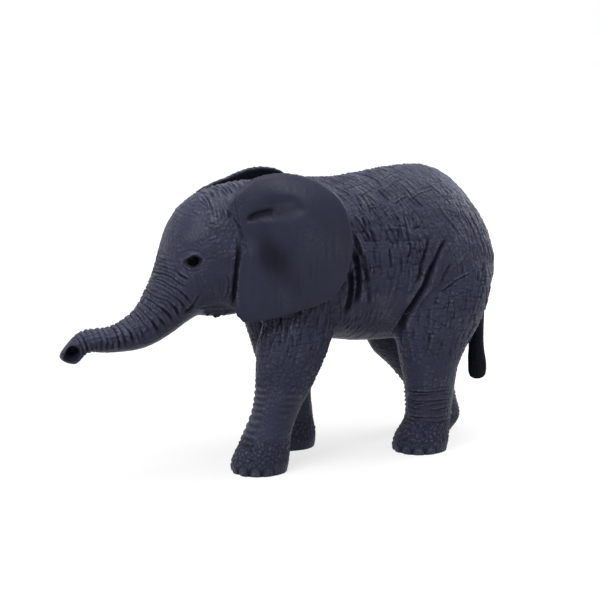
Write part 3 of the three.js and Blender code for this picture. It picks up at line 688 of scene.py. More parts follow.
plate_edge = 1.0 - ease(skin_cells(plate_place, 47, 0.62), 0.06, 0.3)
plate_edge *= 0.15 + 0.85 * ease(drift(round_torso, 1.8, 48), -0.3, 0.4)
mark(here, ribs + upper * 0.35, plate_edge, PLATE_DEPTH, PLATE_WASH_AND_SHADE)
rising = arc + 0.32 * sx * (1.0 - ease(arc, 12.0, 18.0)) + 0.4 * drift(round_torso, 5.0, 34)
tooled(here, upper * 0.4 + ribs * 0.6, rising, sx + side_step, TORSO_TOOLS["level"], 35)
tooled(here, upper, rising + 2.0, sx + side_step, TORSO_TOOLS["long_level"], 36)
outline = np.hypot(sx - 16.0, 0.9 * (sz - 36.0)) + 0.4 * drift(round_torso, 5.0, 37)
round_about = 18.0 * np.arctan2(sz - 36.0, sx - 16.0) + side_step
tooled(here, behind, outline, round_about, TORSO_TOOLS["haunch"], 38)
meridian = 13.0 * np.arctan2(np.abs(sy), np.maximum(sx - 21.0, 0.1)) + 0.3 * drift(round_torso, 4.0, 44)
tooled(here, on_torso * ease(sx, 31.0, 36.0), meridian, sz + side_step, TORSO_TOOLS["rump"], 41)
across = slanted + 0.5 * arc
tooled(here, behind * 0.7 + below * 0.4, across, arc - 0.5 * sx + side_step, TORSO_TOOLS["crossing"], 39)
tooled(here, below, sx + 0.35 * arc, down, TORSO_TOOLS["belly"], 40)
keel = on_torso * ease(arc, 30.0, 32.5) * (1.0 - ease(arc, 35.5, 38.0)) * (1.0 - ease(sx, 15.0, 19.0))
tooled(here, keel, sx + 0.2 * arc, down, TORSO_TOOLS["keel"], 45)
height[here] += on_torso * (0.12 * drift(round_torso, 3.6, 42) + 0.06 * drift(round_torso, 1.5, 46))
tail_root = on_torso * ease(sx, 38.0, 41.0) * np.exp(-((sy / 2.4) ** 2) - ((sz - 44.4) / 2.2) ** 2)
height[here] += TAIL_ROOT_RISE * tail_root
# The raised tail root is held back from the painted highlight.
crest_highlight[here] -= TAIL_ROOT_RISE * tail_root
grainy = upper + 0.5 * ribs + 0.8 * behind + 0.4 * below
pebbled(here, grainy, skin_cells(round_torso / 0.9, 43), 0.07, 0.4, 0.5)

# Lines that the sculptor cut by hand over torso and thighs: places as (x, z), then depth, width and
# share of dark wash and painted shade. First the folds behind the foreleg, then those of the flank, then
# thin ones.
CARVED_LINES = [
    ([(10.5, 47.4), (10.7, 45.2), (11.4, 43.5), (12.2, 41.8), (12.8, 38.7), (13.3, 36.6)], 0.5, 0.3, 0.8),
    ([(10.0, 44.6), (10.6, 41.6), (10.9, 38.8), (11.0, 35.6), (10.6, 32.6)], 1.1, 0.44, 1.4),
    ([(9.0, 40.5), (9.5, 37.4), (9.5, 34.4), (9.0, 30.8)], 1.0, 0.42, 1.4),
    ([(11.5, 42.2), (12.6, 38.4), (13.2, 35.5), (13.8, 31.8)], 0.42, 0.3, 0.45),
    ([(29.9, 45.4), (28.4, 43.4), (27.2, 41.1), (26.0, 38.6)], 0.75, 0.38, 1.3),
    ([(27.2, 41.4), (26.0, 38.6), (25.1, 36.0), (24.0, 34.0), (22.6, 31.3), (21.7, 29.1), (21.3, 25.6)],
     1.25, 0.55, 1.6),
    ([(26.2, 46.2), (25.3, 43.5), (24.5, 41.3), (23.8, 38.1), (22.6, 36.3)], 0.55, 0.36, 1.0),
    ([(30.8, 40.6), (29.4, 37.8), (28.8, 36.0)], 0.4, 0.32, 0.5),
    ([(28.6, 34.4), (31.1, 36.1), (32.7, 37.0), (35.8, 38.2)], 0.18, 0.16, 0.35),
    ([(28.5, 34.8), (31.0, 36.5), (32.6, 37.4), (35.7, 38.6)], -0.14, 0.15, 0.0),
    ([(21.2, 51.9), (21.2, 50.3), (21.4, 47.4), (21.9, 44.5), (21.5, 42.3), (20.8, 39.4)], 0.3, 0.17, 0.7),
    ([(17.4, 44.4), (17.6, 42.0), (18.0, 39.7)], 0.26, 0.17, 0.6),
    ([(14.2, 44.6), (14.4, 41.9), (14.6, 40.6)], 0.26, 0.18, 0.55),
    ([(23.0, 50.7), (23.2, 48.8)], 0.24, 0.17, 0.5),
    ([(19.9, 48.6), (19.4, 45.4), (19.2, 43.4)], 0.24, 0.17, 0.5),
    ([(17.5, 48.7), (18.3, 47.3)], 0.3, 0.18, 0.7),
    ([(16.1, 48.8), (16.3, 46.9)], 0.28, 0.17, 0.6),
    ([(12.8, 50.3), (12.9, 49.4), (13.2, 48.4)], 0.42, 0.22, 1.0),
    ([(13.7, 48.4), (14.1, 46.7), (14.2, 45.5)], 0.34, 0.19, 0.8),
    ([(12.3, 45.8), (13.9, 45.5), (16.2, 45.5)], 0.16, 0.15, 0.28),
    ([(16.9, 45.9), (17.3, 45.3), (18.7, 45.0)], 0.16, 0.15, 0.28),
    ([(20.2, 45.4), (22.8, 45.4)], 0.16, 0.15, 0.28),
    ([(12.9, 43.6), (15.6, 43.2)], 0.16, 0.15, 0.28),
    ([(18.3, 42.2), (20.1, 41.6)], 0.16, 0.15, 0.28),
    ([(12.8, 40.3), (15.9, 40.6)], 0.16, 0.15, 0.28),
    ([(18.8, 48.3), (21.4, 48.2)], 0.16, 0.15, 0.28),
    ([(20.8, 41.3), (22.8, 40.4)], 0.16, 0.15, 0.28),
    ([(12.2, 54.7), (12.7, 52.8), (13.2, 50.7)], 0.28, 0.17, 0.55),
    ([(13.5, 54.9), (14.2, 52.6), (14.7, 50.7)], 0.28, 0.17, 0.55),
    ([(14.6, 54.4), (15.5, 51.9), (16.4, 50.4)], 0.26, 0.17, 0.5),
    ([(17.2, 55.3), (18.0, 54.1), (18.7, 52.5)], 0.26, 0.17, 0.5),
    ([(23.1, 55.4), (23.8, 53.7), (25.2, 52.2), (26.1, 51.6)], 0.28, 0.15, 0.6),
    ([(22.1, 54.7), (23.1, 53.3), (24.3, 51.8)], 0.24, 0.15, 0.5),
    ([(14.3, 51.8), (15.1, 51.9), (15.9, 52.1)], -0.26, 0.14, 0.0),
    ([(20.0, 52.8), (21.7, 53.6), (23.1, 54.0)], -0.26, 0.14, 0.0),
    ([(17.4, 51.2), (18.6, 51.8)], -0.24, 0.14, 0.0),
    ([(25.3, 54.3), (27.1, 54.7), (28.7, 55.1)], -0.2, 0.14, 0.0),
    ([(35.7, 51.7), (37.8, 48.0), (39.2, 44.1), (40.0, 41.2), (38.7, 36.7), (37.2, 32.2), (35.5, 28.5)],
     -0.14, 0.16, 0.0),
    ([(35.1, 51.5), (37.2, 47.9), (38.6, 44.1), (39.3, 41.2), (38.1, 36.9), (36.6, 32.4), (34.9, 28.8)],
     0.14, 0.18, 0.3),
    ([(37.8, 52.2), (39.3, 48.7), (40.8, 44.6), (41.0, 41.1)], -0.12, 0.15, 0.0),
    ([(29.6, 50.0), (32.0, 47.0), (33.2, 43.6)], 0.1, 0.2, 0.18),
    ([(28.3, 35.0), (29.4, 34.5), (30.4, 34.0)], 0.16, 0.15, 0.28),
    ([(27.0, 33.0), (28.6, 32.0), (30.6, 31.2)], 0.16, 0.15, 0.28),
    ([(25.7, 29.8), (27.5, 28.8), (30.2, 27.4)], 0.16, 0.15, 0.28),
    ([(31.2, 32.9), (31.6, 30.9), (31.2, 28.3)], 0.16, 0.15, 0.28),
    ([(32.9, 40.9), (33.8, 38.8), (34.1, 36.8)], 0.16, 0.15, 0.28),
]
carved = (1.0 - own["head"]) * facing_side
for line, depth, width, wash_and_shade in CARVED_LINES:
    carve(side_on, carved, line, depth, width, wash_and_shade)

# Legs. Small strokes both ways high up turn into level creases lower down. The foreleg has a row of
# short bars down its front, and each knobbly foot has a row of nails in gaps darkened with wash and painted
# shade.
# Each leg's middle at the floor and at its top as (x, y), then half the length and width of its foot.
LEG_LINES = {
    "foreleg_left": ((-8.1, -8.6), (2.0, -7.8), (5.7, 5.5)),
    "foreleg_right": ((3.5, 7.0), (2.2, 7.5), (5.8, 5.5)),
    "hindleg_left": ((28.6, -5.3), (31.7, -7.0), (5.8, 5.4)),
    "hindleg_right": ((38.6, 9.8), (31.7, 8.0), (5.9, 5.4)),
}
LEG_TOP = 35.0
LEG_RADIUS = 5.5
# Nails stand at these turns from straight ahead, in degrees.
NAIL_TURNS = (-18.0, 9.0, 36.0, 63.0, 90.0)
NAIL_FOOT = 0.5
NAIL_HALF_WIDTH = 1.1
NAIL_HEIGHT = 1.7
NAIL_RISE = 0.14
NAIL_GAP_PLACE = 1.14
NAIL_GAP_DEPTH = 0.1
BAR_PITCH = 1.3
BAR_RISE = 0.3
BAR_WASH_AND_SHADE = 0.5
LEG_TOOLS = {
    "hind_crease": (0.95, 8.0, 0.15, 0.06, 0.36, 0.8, 0.8),
    "hind_upright": (1.6, 2.4, 0.15, 0.2, 0.12, 0.25, 0.5),
    "fore_crease": (1.3, 2.6, 0.15, 0.2, 0.2, 0.36, 0.5),
    "pleat": (0.95, 4.0, 0.18, 0.14, 0.42, 0.8, 0.4),
    "thigh_upright": (1.1, 2.0, 0.15, 0.25, 0.2, 0.4, 0.5),
    "thigh_level": (1.5, 2.2, 0.15, 0.25, 0.2, 0.4, 0.5),
    "thigh_long": (2.1, 4.5, 0.16, 0.16, 0.24, 0.5, 0.5),
}
for leg, (solid, (low, high, foot_size)) in enumerate(LEG_LINES.items()):
    seed = 50 + 20 * leg
    is_hind = solid.startswith("hindleg")
    here = zone(own[solid])
    on_leg = own[solid][here]
    sx, sy, sz = skin[here].T
    share = sz / LEG_TOP
    aside = sx - low[0] - (high[0] - low[0]) * share
    astride = sy - low[1] - (high[1] - low[1]) * share
    span = np.hypot(aside, astride) + 1e-6
    round_leg = np.stack([LEG_RADIUS * aside / span, LEG_RADIUS * astride / span, sz], axis=1)
    turn = LEG_RADIUS * np.arctan2(astride, aside)
    wavy = sz + 0.35 * drift(round_leg, 3.5, seed) + 0.1 * drift(round_leg, 1.2, seed + 11)
    shin = on_leg * (1.0 - ease(sz, 15.5, 19.0)) * ease(sz, 6.0, 7.5)
    knee = on_leg * (1.0 - ease(sz, 21.0, 25.0)) * ease(sz, 14.5, 18.0)
    thigh = on_leg * ease(sz, 18.0, 24.0)
    if is_hind:
        low_shin = shin * (1.0 - ease(sz, 13.5, 16.5))
        tooled(here, low_shin, wavy, turn + 3.0, LEG_TOOLS["hind_crease"], seed + 1)
        tooled(here, shin * 0.7, turn, sz, LEG_TOOLS["hind_upright"], seed + 2)
        knee = knee * 0.35
    else:
        bar_phase = (sz + 0.3 * drift(round_leg, 3.0, seed + 12)) / BAR_PITCH
        bar_off = bar_phase - np.round(bar_phase)
        gaps = np.exp(-(((np.abs(bar_off) - 0.5) * BAR_PITCH / 0.22) ** 2))
        front = np.exp(-(((np.abs(turn) - 15.3) / 1.8) ** 4))
        side = 0.75 * np.exp(-(((np.abs(turn) - 8.4) / 1.2) ** 4)) * ease(sz, 9.5, 12.0)
        rows = on_leg * np.maximum(front * ease(sz, 4.5, 6.5), side) * (1.0 - ease(sz, 17.0, 19.5))
        height[here] += rows * BAR_RISE * (np.cos(math.pi * bar_off) ** 2 - 0.55)
        dark[here] += rows * BAR_WASH_AND_SHADE * gaps
        beside_bars = shin * (1.0 - 0.8 * np.maximum(front, side)) * 0.5
        tooled(here, beside_bars, wavy, turn, LEG_TOOLS["fore_crease"], seed + 1)
        shoulder = on_leg * ease(sz, 24.5, 27.5)
        tooled(here, shoulder, turn + 0.15 * sz, sz, LEG_TOOLS["pleat"], seed + 2)
    knee_place = round_leg / np.array([1.25, 1.25, 0.85]) + 0.4 * drift(round_leg, 2.0, seed + 13)[:, None]
    pebbled(here, knee, skin_cells(knee_place, seed + 8), 0.16, 0.3, 0.85, 0.4)
    loose_turn = turn + 0.2 * drift(round_leg, 3.0, seed + 3)
    tooled(here, thigh, loose_turn, sz, LEG_TOOLS["thigh_upright"], seed + 4)
    tooled(here, thigh, wavy, turn + 1.0, LEG_TOOLS["thigh_level"], seed + 5)
    tooled(here, thigh, turn, sz, LEG_TOOLS["thigh_long"], seed + 9)
    height[here] += on_leg * 0.1 * drift(round_leg, 2.6, seed + 6)
    pebbled(here, on_leg, skin_cells(round_leg / 0.85, seed + 7), 0.08, 0.4, 0.7)
    foot = on_leg * (1.0 - ease(sz, 6.0, 8.0)) * ease(sz, 1.2, 2.6)
    knobs = skin_cells(skin[here] / 0.85 + 0.3 * drift(round_leg, 1.5, seed + 15)[:, None], seed + 10)
    pebbled(here, foot, knobs, 0.2, 0.5, 0.65, 0.75, 0.22)
    ahead = -(sx - low[0]) / foot_size[0]
    toe_turn = np.arctan2((sy - low[1]) * np.sign(low[1]) / foot_size[1], ahead)
    for nail_turn in NAIL_TURNS:
        beside = np.abs(toe_turn - math.radians(nail_turn)) * foot_size[0] / NAIL_HALF_WIDTH
        nail = np.hypot(beside, np.maximum(sz - NAIL_FOOT, 0.0) / (NAIL_HEIGHT - NAIL_FOOT))
        near_nail = on_leg * (sz < 4.0) * (beside < 3.0)
        rim = np.exp(-(((nail - NAIL_GAP_PLACE) / 0.16) ** 2))
        height[here] += near_nail * (NAIL_RISE * (1.0 - ease(nail, 0.5, 1.05)) - NAIL_GAP_DEPTH * rim)
        # Dark wash and painted shade in the gap round each nail.
        rim = np.exp(-(((nail - NAIL_GAP_PLACE) / 0.17) ** 2))
        dark[here] += near_nail * (0.15 + 0.8 * ease(beside, 0.6, 1.0)) * rim

mound = skin + outward * height[:, None]
mound[:, 2] = np.where(z < SOLE_FLAT, 0.0, np.maximum(mound[:, 2], 0.0))
set_points(hide, mound)
set_mask(hide, "crease", np.clip(dark, 0.0, 1.0))
# The rise mask marks the raised tops and the painted highlight patches, which take the painted highlight
# colour.
set_mask(hide, "rise", np.clip(0.5 + height + crest_highlight, 0.0, 1.0))


# The slate paint: dull blue grey PVC colour, a darker wash with painted shade in the creases, and
# painted highlights on the raised tops. Its grain is finer than the modelled wrinkles.
def new_group(name, inputs, outputs):
    """A shader node group with these named colour and value sockets."""
    group = bpy.data.node_groups.new(name, "ShaderNodeTree")
    for socket, kind, value in inputs:
        made = group.interface.new_socket(name=socket, in_out="INPUT", socket_type=kind)
        made.default_value = value
    for socket, kind in outputs:
        group.interface.new_socket(name=socket, in_out="OUTPUT", socket_type=kind)
    return group


slate_skin = new_group(
    "slate_skin",
    [
        ("Slate", "NodeSocketColor", (0.05, 0.055, 0.085, 1.0)),
        ("Wash", "NodeSocketColor", (0.01, 0.011, 0.02, 1.0)),
        ("Rubbed", "NodeSocketColor", (0.09, 0.095, 0.13, 1.0)),
        ("Grain", "NodeSocketFloat", 1.0),
        ("Hatching", "NodeSocketFloat", 1.0),
    ],
    [("Colour", "NodeSocketColor"), ("Roughness", "NodeSocketFloat"), ("Height", "NodeSocketFloat")],
)
given = add(slate_skin, "NodeGroupInput").outputs
place = add(slate_skin, "ShaderNodeTexCoord").outputs["Object"]
crease = add(slate_skin, "ShaderNodeAttribute", attribute_name="crease").outputs["Fac"]
rise = add(slate_skin, "ShaderNodeAttribute", attribute_name="rise").outputs["Fac"]
mottle = tune(add(slate_skin, "ShaderNodeTexNoise"), Vector=place, Scale=160.0, Detail=4.0, Roughness=0.6)
grain = tune(add(slate_skin, "ShaderNodeTexNoise"), Vector=place, Scale=2200.0, Detail=3.0, Roughness=0.55)
grain = grain.outputs["Fac"]
crackle = add(slate_skin, "ShaderNodeTexVoronoi", feature="DISTANCE_TO_EDGE")
tune(crackle, Vector=place, Scale=1500.0)

# Fine hatching: long crooked cells, whose borders are lines that hold dark wash and painted shade.
wander = tune(add(slate_skin, "ShaderNodeTexNoise"), Vector=place, Scale=420.0, Detail=2.0)
wandered = compute(
    slate_skin, "MULTIPLY_ADD", wander.outputs["Color"], (0.0012, 0.0012, 0.0012), place,
    kind="ShaderNodeVectorMath",
)
lay = add(slate_skin, "ShaderNodeMapping")
tune(lay, Vector=wandered, Rotation=(0.0, math.radians(14.0), 0.0), Scale=(1250.0, 1250.0, 620.0))
hatch = add(slate_skin, "ShaderNodeTexVoronoi", feature="DISTANCE_TO_EDGE")
tune(hatch, Vector=lay.outputs["Vector"], Scale=1.0)
hatch_line = spread(slate_skin, hatch.outputs["Distance"], From_Max=0.16, To_Min=1.0, To_Max=0.0)
hatch_share = compute(slate_skin, "MULTIPLY", hatch_line, given["Hatching"])

# Colour: blotched slate, with painted highlights on its raised tops, and dark wash with painted shade in
# its creases.
top = spread(slate_skin, rise, From_Min=0.505, From_Max=0.64)
speck = spread(slate_skin, grain, From_Min=0.4, From_Max=0.62, To_Min=0.15)
blotch = spread(slate_skin, mottle.outputs["Fac"], From_Min=0.3, From_Max=0.7, To_Min=0.82, To_Max=1.12)
blotched = blend(slate_skin, 1.0, given["Slate"], blotch, "MULTIPLY")
retouched = blend(slate_skin, compute(slate_skin, "MULTIPLY", top, speck), blotched, given["Rubbed"])
# Dark wash and painted shade: creases, hatching lines and hollows are darkened towards the wash colour.
fine_wash_and_shade = compute(slate_skin, "MULTIPLY_ADD", hatch_share, 0.28, crease)
wash_and_shade_share = spread(slate_skin, fine_wash_and_shade, From_Min=0.1, From_Max=0.9, To_Max=0.85)
washed_and_shaded = blend(slate_skin, wash_and_shade_share, retouched, given["Wash"])

# Shine and fine relief.
matt = spread(slate_skin, grain, To_Min=0.36, To_Max=0.5)
dull = compute(slate_skin, "MULTIPLY_ADD", crease, 0.3, matt)
cracks = spread(slate_skin, crackle.outputs["Distance"], From_Max=0.16, To_Max=0.5)
rough = compute(slate_skin, "ADD", cracks, grain)
scaled = compute(slate_skin, "MULTIPLY", rough, given["Grain"])
relief = compute(slate_skin, "SUBTRACT", scaled, hatch_share)
tune(add(slate_skin, "NodeGroupOutput"), Colour=washed_and_shaded, Roughness=dull, Height=relief)


PAINT_SHEEN = 0.22


def paint(name, slate, wash_and_shade, crest_highlight, grain_share, hatching, grain_depth, sheen=PAINT_SHEEN):
    """A material of slate paint in these colours."""
    material = bpy.data.materials.new(name)
    material.use_nodes = True
    tree = material.node_tree
    skin_group = add(tree, "ShaderNodeGroup", node_tree=slate_skin)
    tune(skin_group, Slate=slate, Wash=wash_and_shade, Rubbed=crest_highlight, Grain=grain_share, Hatching=hatching)
    made = skin_group.outputs
    bump = tune(add(tree, "ShaderNodeBump"), Strength=0.6, Distance=grain_depth * MM, Height=made["Height"])
    tune(
        tree.nodes["Principled BSDF"],
        Specular_IOR_Level=sheen,
        Base_Color=made["Colour"],
        Roughness=made["Roughness"],
        Normal=bump.outputs["Normal"],
    )
    return material


SLATE = (0.0315, 0.0345, 0.0712, 1.0)
# Dark wash colour, which also paints shade into creases and hollows.
WASH_AND_SHADE = (0.002, 0.0025, 0.009, 1.0)
# Painted highlight colour for the raised tops.
CREST_HIGHLIGHT = (0.115, 0.122, 0.165, 1.0)
HIDE_PAINTS = {
    "torso": paint("slate_torso", SLATE, WASH_AND_SHADE, CREST_HIGHLIGHT, 1.0, 0.5, 0.13),
    "head": paint("slate_head", SLATE, WASH_AND_SHADE, CREST_HIGHLIGHT, 0.9, 0.25, 0.10),
    "foreleg": paint("slate_foreleg", SLATE, WASH_AND_SHADE, CREST_HIGHLIGHT, 1.0, 0.5, 0.12),
    "hindleg": paint("slate_hindleg", SLATE, WASH_AND_SHADE, CREST_HIGHLIGHT, 1.0, 0.5, 0.12),
}

CUTTER_SWELL = 0.9
CUTTER_GRAIN = 0.6
TRIANGLE_LIMIT = 190000
rest = hide
hide_pieces = {}
for solid in HIDE_SOLIDS[1:]:
    cutter = welded_copy(solid, CUTTER_SWELL)
    apply_modifier(cutter, "REMESH", mode="VOXEL", voxel_size=CUTTER_GRAIN * MM)
    taken = bpy.data.objects.new(solid + "_hide", rest.data.copy())
    scene.collection.objects.link(taken)
    apply_modifier(taken, "BOOLEAN", operation="INTERSECT", object=cutter, solver="MANIFOLD")
    apply_modifier(rest, "BOOLEAN", operation="DIFFERENCE", object=cutter, solver="MANIFOLD")
    bpy.data.objects.remove(cutter)
    hide_pieces[solid] = taken
rest.name = "torso_hide"
hide_pieces["torso"] = rest
for solid, piece in hide_pieces.items():
    triangles = sum(len(face.vertices) - 2 for face in piece.data.polygons)
    if triangles > TRIANGLE_LIMIT:
        apply_modifier(piece, "DECIMATE", ratio=TRIANGLE_LIMIT / triangles)
    piece.data.materials.clear()
    piece.data.materials.append(HIDE_PAINTS[solid.split("_")[0]])
    pick(piece)
    bpy.ops.object.shade_smooth()
    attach(piece, "root")
    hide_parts(solid)


# Ears. Each is a thin cupped sheet of the same PVC, plugged into the side of the head at its root.
# Its face is nearly smooth, with soft folds that hang from the root.
def regrow(piece, grain, softness):
    """Regrows a piece as an even skin of square faces, smooths it and splits each face in four."""
    apply_modifier(piece, "REMESH", mode="VOXEL", voxel_size=grain * MM)
    apply_modifier(piece, "SMOOTH", factor=0.5, iterations=softness)
    apply_modifier(piece, "SUBSURF", levels=1, render_levels=1)


def spot(flat, back, up, half_length, half_height):
    """A soft round spot round one (x, z) place: 1 in the middle, fading out past its half sizes."""
    return np.exp(-(((flat[:, 0] - back) / half_length) ** 2) - ((flat[:, 1] - up) / half_height) ** 2)


# Each ear's side, its lean, tilt and flare in degrees, and how far it is set back and down.
EAR_POSES = {
    "ear_left": (1.0, 0.0, 0.0, 0.0, 0.0, 0.0),
    "ear_right": (-1.0, 12.0, -10.0, -8.0, 0.6, 2.2),
}
EAR_PIVOT = (-9.9, 0.0, 51.7)
EAR_STAND = 13.1
# Folds of the outer face as (x, z) places, then depth, width and share of dark wash and painted shade.
EAR_LINES = [
    ([(-11.1, 49.9), (-10.6, 50.8), (-9.6, 51.5), (-8.4, 52.0), (-6.4, 52.6)], 0.5, 0.42, 0.9),
    ([(-10.6, 50.3), (-9.6, 51.0), (-8.4, 51.5), (-6.8, 51.9)], 0.3, 0.7, 0.5),
    ([(-8.0, 52.9), (-6.4, 53.9), (-4.4, 54.3), (-3.0, 54.1), (-2.4, 53.2), (-2.1, 51.6)], 0.2, 0.9, 0.35),
    ([(-5.9, 52.9), (-5.6, 51.8)], -0.08, 0.26, 0.0),
    ([(-0.3, 42.2), (-0.3, 38.6)], 0.1, 0.2, 0.3),
    ([(-12.3, 47.4), (-12.6, 44.0), (-13.1, 40.0), (-13.4, 36.0), (-12.9, 32.6)], -0.16, 0.3, 0.0),
    ([(-11.4, 46.6), (-11.7, 43.0), (-12.1, 39.0), (-12.1, 35.0)], 0.1, 0.5, 0.1),
]
# Broad bends of the whole ear, both faces together: place back and up, half sizes and how far inwards.
EAR_BENDS = [
    (-6.2, 42.0, 3.6, 4.6, 1.6),
    (-9.6, 46.8, 2.2, 2.4, 0.6),
    (-4.8, 52.8, 3.0, 1.8, 0.5),
    (-8.2, 50.2, 2.2, 0.9, -0.2),
    (3.0, 40.0, 5.0, 9.0, 0.3),
]
EAR_TOP_ROLL = 2.2
# The height of the head's skin at each distance from the middle, which the ear's root sinks into.
EAR_ROOT = ((4.0, 5.0, 6.0, 7.0, 8.0, 9.0, 10.0), (55.9, 55.3, 54.6, 53.65, 52.4, 50.8, 48.0))
EAR_ROOT_COVER = 0.45
# The ear's upper rim as x, then z. The hollow face gets painted shade below it.
EAR_RIM = (
    (-14.0, -11.0, -9.0, -5.0, -1.0, 3.0, 7.0, 10.0),
    (51.0, 55.5, 57.1, 58.7, 59.1, 58.3, 55.4, 49.5),
)
# Painted shade under the upper fold and down the front, and a painted highlight spot: place back and up,
# then half sizes.
EAR_FOLD_SHADE = (-6.0, 52.4, 3.0, 1.4)
EAR_FRONT_SHADE = (-8.4, 45.0, 1.8, 4.5)
EAR_HIGHLIGHT_SPOT = (-0.6, 47.6, 3.2, 4.4)
EAR_NOTCH = (-12.2, 45.8, 0.8, 1.5)
EAR_LOBE = (-14.0, 53.5, 3.0, 2.6)
EAR_LOBE_REACH = 1.0
FAR_EAR_CORNER = (-12.4, 54.2, 3.6, 3.4)
FAR_EAR_CORNER_MOVE = (-3.9, -0.6, 0.2)
# How strongly the far ear's lit upper rim is painted as a highlight.
FAR_EAR_RIM_HIGHLIGHT = 5.0
EAR_TOOLS = {
    "drape": (1.5, 8.0, 0.3, 0.06, 0.05, 0.12, 0.4),
    "crinkle": (0.6, 1.4, 0.14, 0.5, 0.3, 0.5, 0.5),
    "root": (0.7, 3.2, 0.14, 0.15, 0.3, 0.5, 0.7),
}

# The ears take a darker copy of the slate: painted shade on the same PVC.
shaded_ear_paint = paint("shaded_slate_ear", (0.021, 0.024, 0.050, 1.0), WASH_AND_SHADE, CREST_HIGHLIGHT, 0.5, 0.0, 0.07)
for solid, (side, lean, tilt, flare, set_back, drop) in EAR_POSES.items():
    ear = welded_copy(solid, 0.0)
    regrow(ear, 0.25, 7)
    ear.name = solid + "_hide"
    skin = points_of(ear)
    outward = normals_of(ear)
    height = np.zeros(len(skin))
    dark = np.zeros(len(skin))
    everywhere = np.arange(len(skin))

    # Both ears are marked as they would lie in the left one's pose.
    turned = Matrix.Rotation(math.radians(lean), 3, "X") @ Matrix.Rotation(math.radians(flare), 3, "Z")
    turned = np.array(turned @ Matrix.Rotation(math.radians(tilt), 3, "Y"))
    pivot = np.array(EAR_PIVOT) - np.array([0.0, EAR_STAND, 0.0]) * side
    lying = (skin - pivot - np.array([set_back, 0.0, -drop])) @ turned + pivot
    flat = lying[:, [0, 2]]
    back, up = flat.T
    out_face = -side * (outward @ turned)[:, 1]
    outer = ease(out_face, 0.0, 0.5)
    from_middle = np.abs(skin[:, 1])

    for line, depth, width, wash_and_shade in EAR_LINES:
        carve(flat, outer, line, depth, width, wash_and_shade, 0.0)
    drape = ease(np.abs(out_face), 0.5, 0.85) * (1.0 - ease(up, 44.0, 52.0))
    tooled(everywhere, drape, back + 0.3 * drift(lying, 5.0, 90), up, EAR_TOOLS["drape"], 91)
    near_notch = outer * spot(flat, *EAR_NOTCH)
    tooled(everywhere, near_notch, back + 0.4 * up, up - 0.4 * back, EAR_TOOLS["crinkle"], 92)
    height += outer * 0.06 * drift(lying, 5.0, 93)
    at_root = 1.0 - ease(from_middle, 9.2, 10.6)
    ahead = skin[:, 0] + 0.2 * drift(skin, 2.0, 94)
    tooled(everywhere, at_root, ahead, 1.3 * from_middle, EAR_TOOLS["root"], 97)

    # Painted shade: the hollow face below the rim, the ear's hollow and the shadow under its upper fold,
    # and a band down its front. The back edge is darker, with random blotches.
    below_rim = np.interp(skin[:, 0], EAR_RIM[0], EAR_RIM[1]) - skin[:, 2]
    dark += 1.1 * ease(-out_face, 0.1, 0.6) * ease(below_rim, 0.5, 1.3)
    hollow = np.exp(-(((back + 0.45 * up - 12.9) / 3.0) ** 2) - ((up - 42.4) / 5.2) ** 2)
    dark += outer * np.maximum(hollow, 0.6 * spot(flat, *EAR_FOLD_SHADE))
    dark += 0.4 * outer * spot(flat, *EAR_FRONT_SHADE)
    dark += outer * (0.3 * ease(back, 4.0, 8.5) + 0.12 * drift(lying, 3.2, 98))
    # Painted highlights: a pale spot on the outer face, and the far ear's lit upper rim.
    pale = outer * spot(flat, *EAR_HIGHLIGHT_SPOT)
    if side < 0.0:
        pale += FAR_EAR_RIM_HIGHLIGHT * (1.0 - ease(below_rim, 0.35, 0.9))

    inwards = EAR_TOP_ROLL * ease(up, 52.0, 60.5) ** 1.5
    for *place, bend in EAR_BENDS:
        inwards += bend * spot(flat, *place)
    bent = skin + outward * height[:, None] + np.array([0.0, side, 0.0]) * inwards[:, None]
    bent[:, 0] -= EAR_LOBE_REACH * spot(flat, *EAR_LOBE)
    if side < 0.0:
        corner = spot(bent[:, [0, 2]], *FAR_EAR_CORNER)
        bent += corner[:, None] * np.array(FAR_EAR_CORNER_MOVE)
    root_top = np.interp(from_middle, EAR_ROOT[0], EAR_ROOT[1]) + EAR_ROOT_COVER
    keep = 0.12 + 0.88 * ease(from_middle, 6.8, 9.6)
    above = (bent[:, 2] > root_top) & (from_middle < 9.6)
    bent[:, 2] = np.where(above, root_top + keep * (bent[:, 2] - root_top), bent[:, 2])
    set_points(ear, bent)
    set_mask(ear, "crease", np.clip(dark, 0.0, 1.0))
    # The rise mask takes the painted highlights, and the root is lifted a little towards the head's lighter
    # tone.
    set_mask(ear, "rise", np.clip(0.5 + 0.5 * height + 0.03 * pale + 0.06 * at_root, 0.0, 1.0))
    ear.data.materials.append(shaded_ear_paint)
    pick(ear)
    bpy.ops.object.shade_smooth()
    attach(ear, "root")
    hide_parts(solid)


# Tail. A tapering PVC cord that grows out of the rump and ends in a flat dark tuft of moulded hair.
TAIL_TOOLS = {
    "hair": (0.42, 5.0, 0.1, 0.06, 0.22, 0.0, 0.6),
    "ring": (1.1, 2.0, 0.14, 0.15, 0.16, 0.25, 0.5),
}
TAIL_WASH = (0.0008, 0.0008, 0.002, 1.0)
TAIL_SHEEN = 0.12
TAIL_ROOT_SINK = 1.3
TAIL_ROOT_SPREAD = 0.35
TAIL_ROOT_REACH = 2.6
tail = welded_copy("tail", 0.0)
regrow(tail, 0.25, 4)
tail.name = "tail_hide"
skin = points_of(tail)
outward = normals_of(tail)
height = np.zeros(len(skin))
everywhere = np.arange(len(skin))
sx, sy, sz = skin.T
dark = 0.15 * (1.0 - ease(sz, 37.0, 41.0))
dark += 0.5 * (1.0 - ease(sz, 26.0, 39.0)) + 0.6 * (1.0 - ease(sz, 19.5, 26.0))
round_tail = 1.5 * np.arctan2(sy, sx - 42.5 - 0.03 * (30.0 - sz))
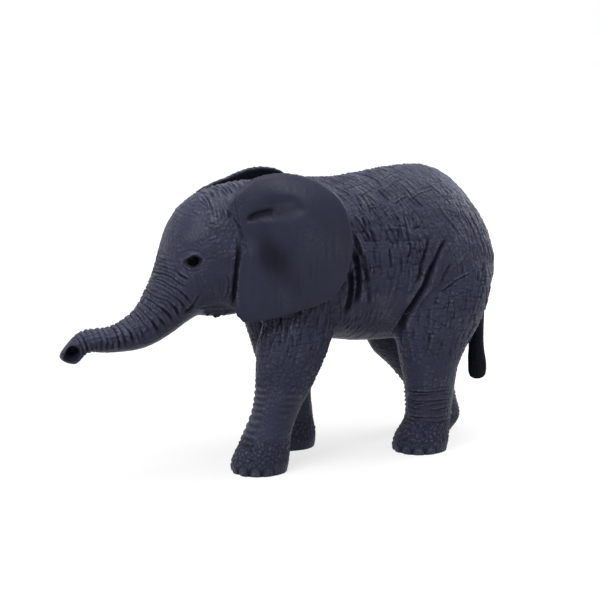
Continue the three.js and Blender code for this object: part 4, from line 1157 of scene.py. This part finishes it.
in_tuft = 1.0 - ease(sz, 18.5, 22.0)
tooled(everywhere, in_tuft, round_tail, sz, TAIL_TOOLS["hair"], 95)
tooled(everywhere, 1.0 - in_tuft, sz, round_tail, TAIL_TOOLS["ring"], 96)
shaped = skin + outward * height[:, None]
shaped[:, 0] -= TAIL_ROOT_SINK * ease(sz, 40.5, 42.0)
shaped[:, 1] *= 1.0 + TAIL_ROOT_SPREAD * ease(sz, 36.0, 40.0)
shaped[:, 2] += (TAIL_ROOT_REACH - 0.45 * sy ** 2) * ease(sz, 38.0, 42.0)
set_points(tail, shaped)
set_mask(tail, "crease", np.clip(dark, 0.0, 1.0))
# The tail's raised tops take the painted highlight colour.
set_mask(tail, "rise", np.clip(0.5 + height, 0.0, 1.0))
tail.data.materials.append(paint("slate_tail", SLATE, TAIL_WASH, CREST_HIGHLIGHT, 0.4, 0.0, 0.07, TAIL_SHEEN))
pick(tail)
bpy.ops.object.shade_smooth()
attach(tail, "root")
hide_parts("tail")


# Eyes. Black gloss lacquered beads set into the lids.
EYE_BLACK = (0.0002, 0.0002, 0.0004, 1.0)
EYE_BROWN = (0.0014, 0.0012, 0.0012, 1.0)
EYE_SHEEN = 0.02
eye_look = bpy.data.materials.new("black_gloss_eye")
eye_look.use_nodes = True
tree = eye_look.node_tree
eye_place = add(tree, "ShaderNodeTexCoord").outputs["Object"]
lacquer = tune(add(tree, "ShaderNodeTexNoise"), Vector=eye_place, Scale=1800.0, Detail=3.0, Roughness=0.6)
lacquer = lacquer.outputs["Fac"]
tune(
    tree.nodes["Principled BSDF"],
    Specular_IOR_Level=EYE_SHEEN,
    Base_Color=blend(tree, lacquer, EYE_BLACK, EYE_BROWN),
    Roughness=spread(tree, lacquer, From_Min=0.3, From_Max=0.7, To_Min=0.12, To_Max=0.26),
)
for solid in SOCKET_FILL:
    eye = welded_copy(solid, 0.0)
    regrow(eye, 0.15, 2)
    eye.name = solid + "_bead"
    eye.data.materials.append(eye_look)
    pick(eye)
    bpy.ops.object.shade_smooth()
    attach(eye, "root")
    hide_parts(solid)


bpy.ops.object.select_all(action="DESELECT")
bpy.context.view_layer.update()
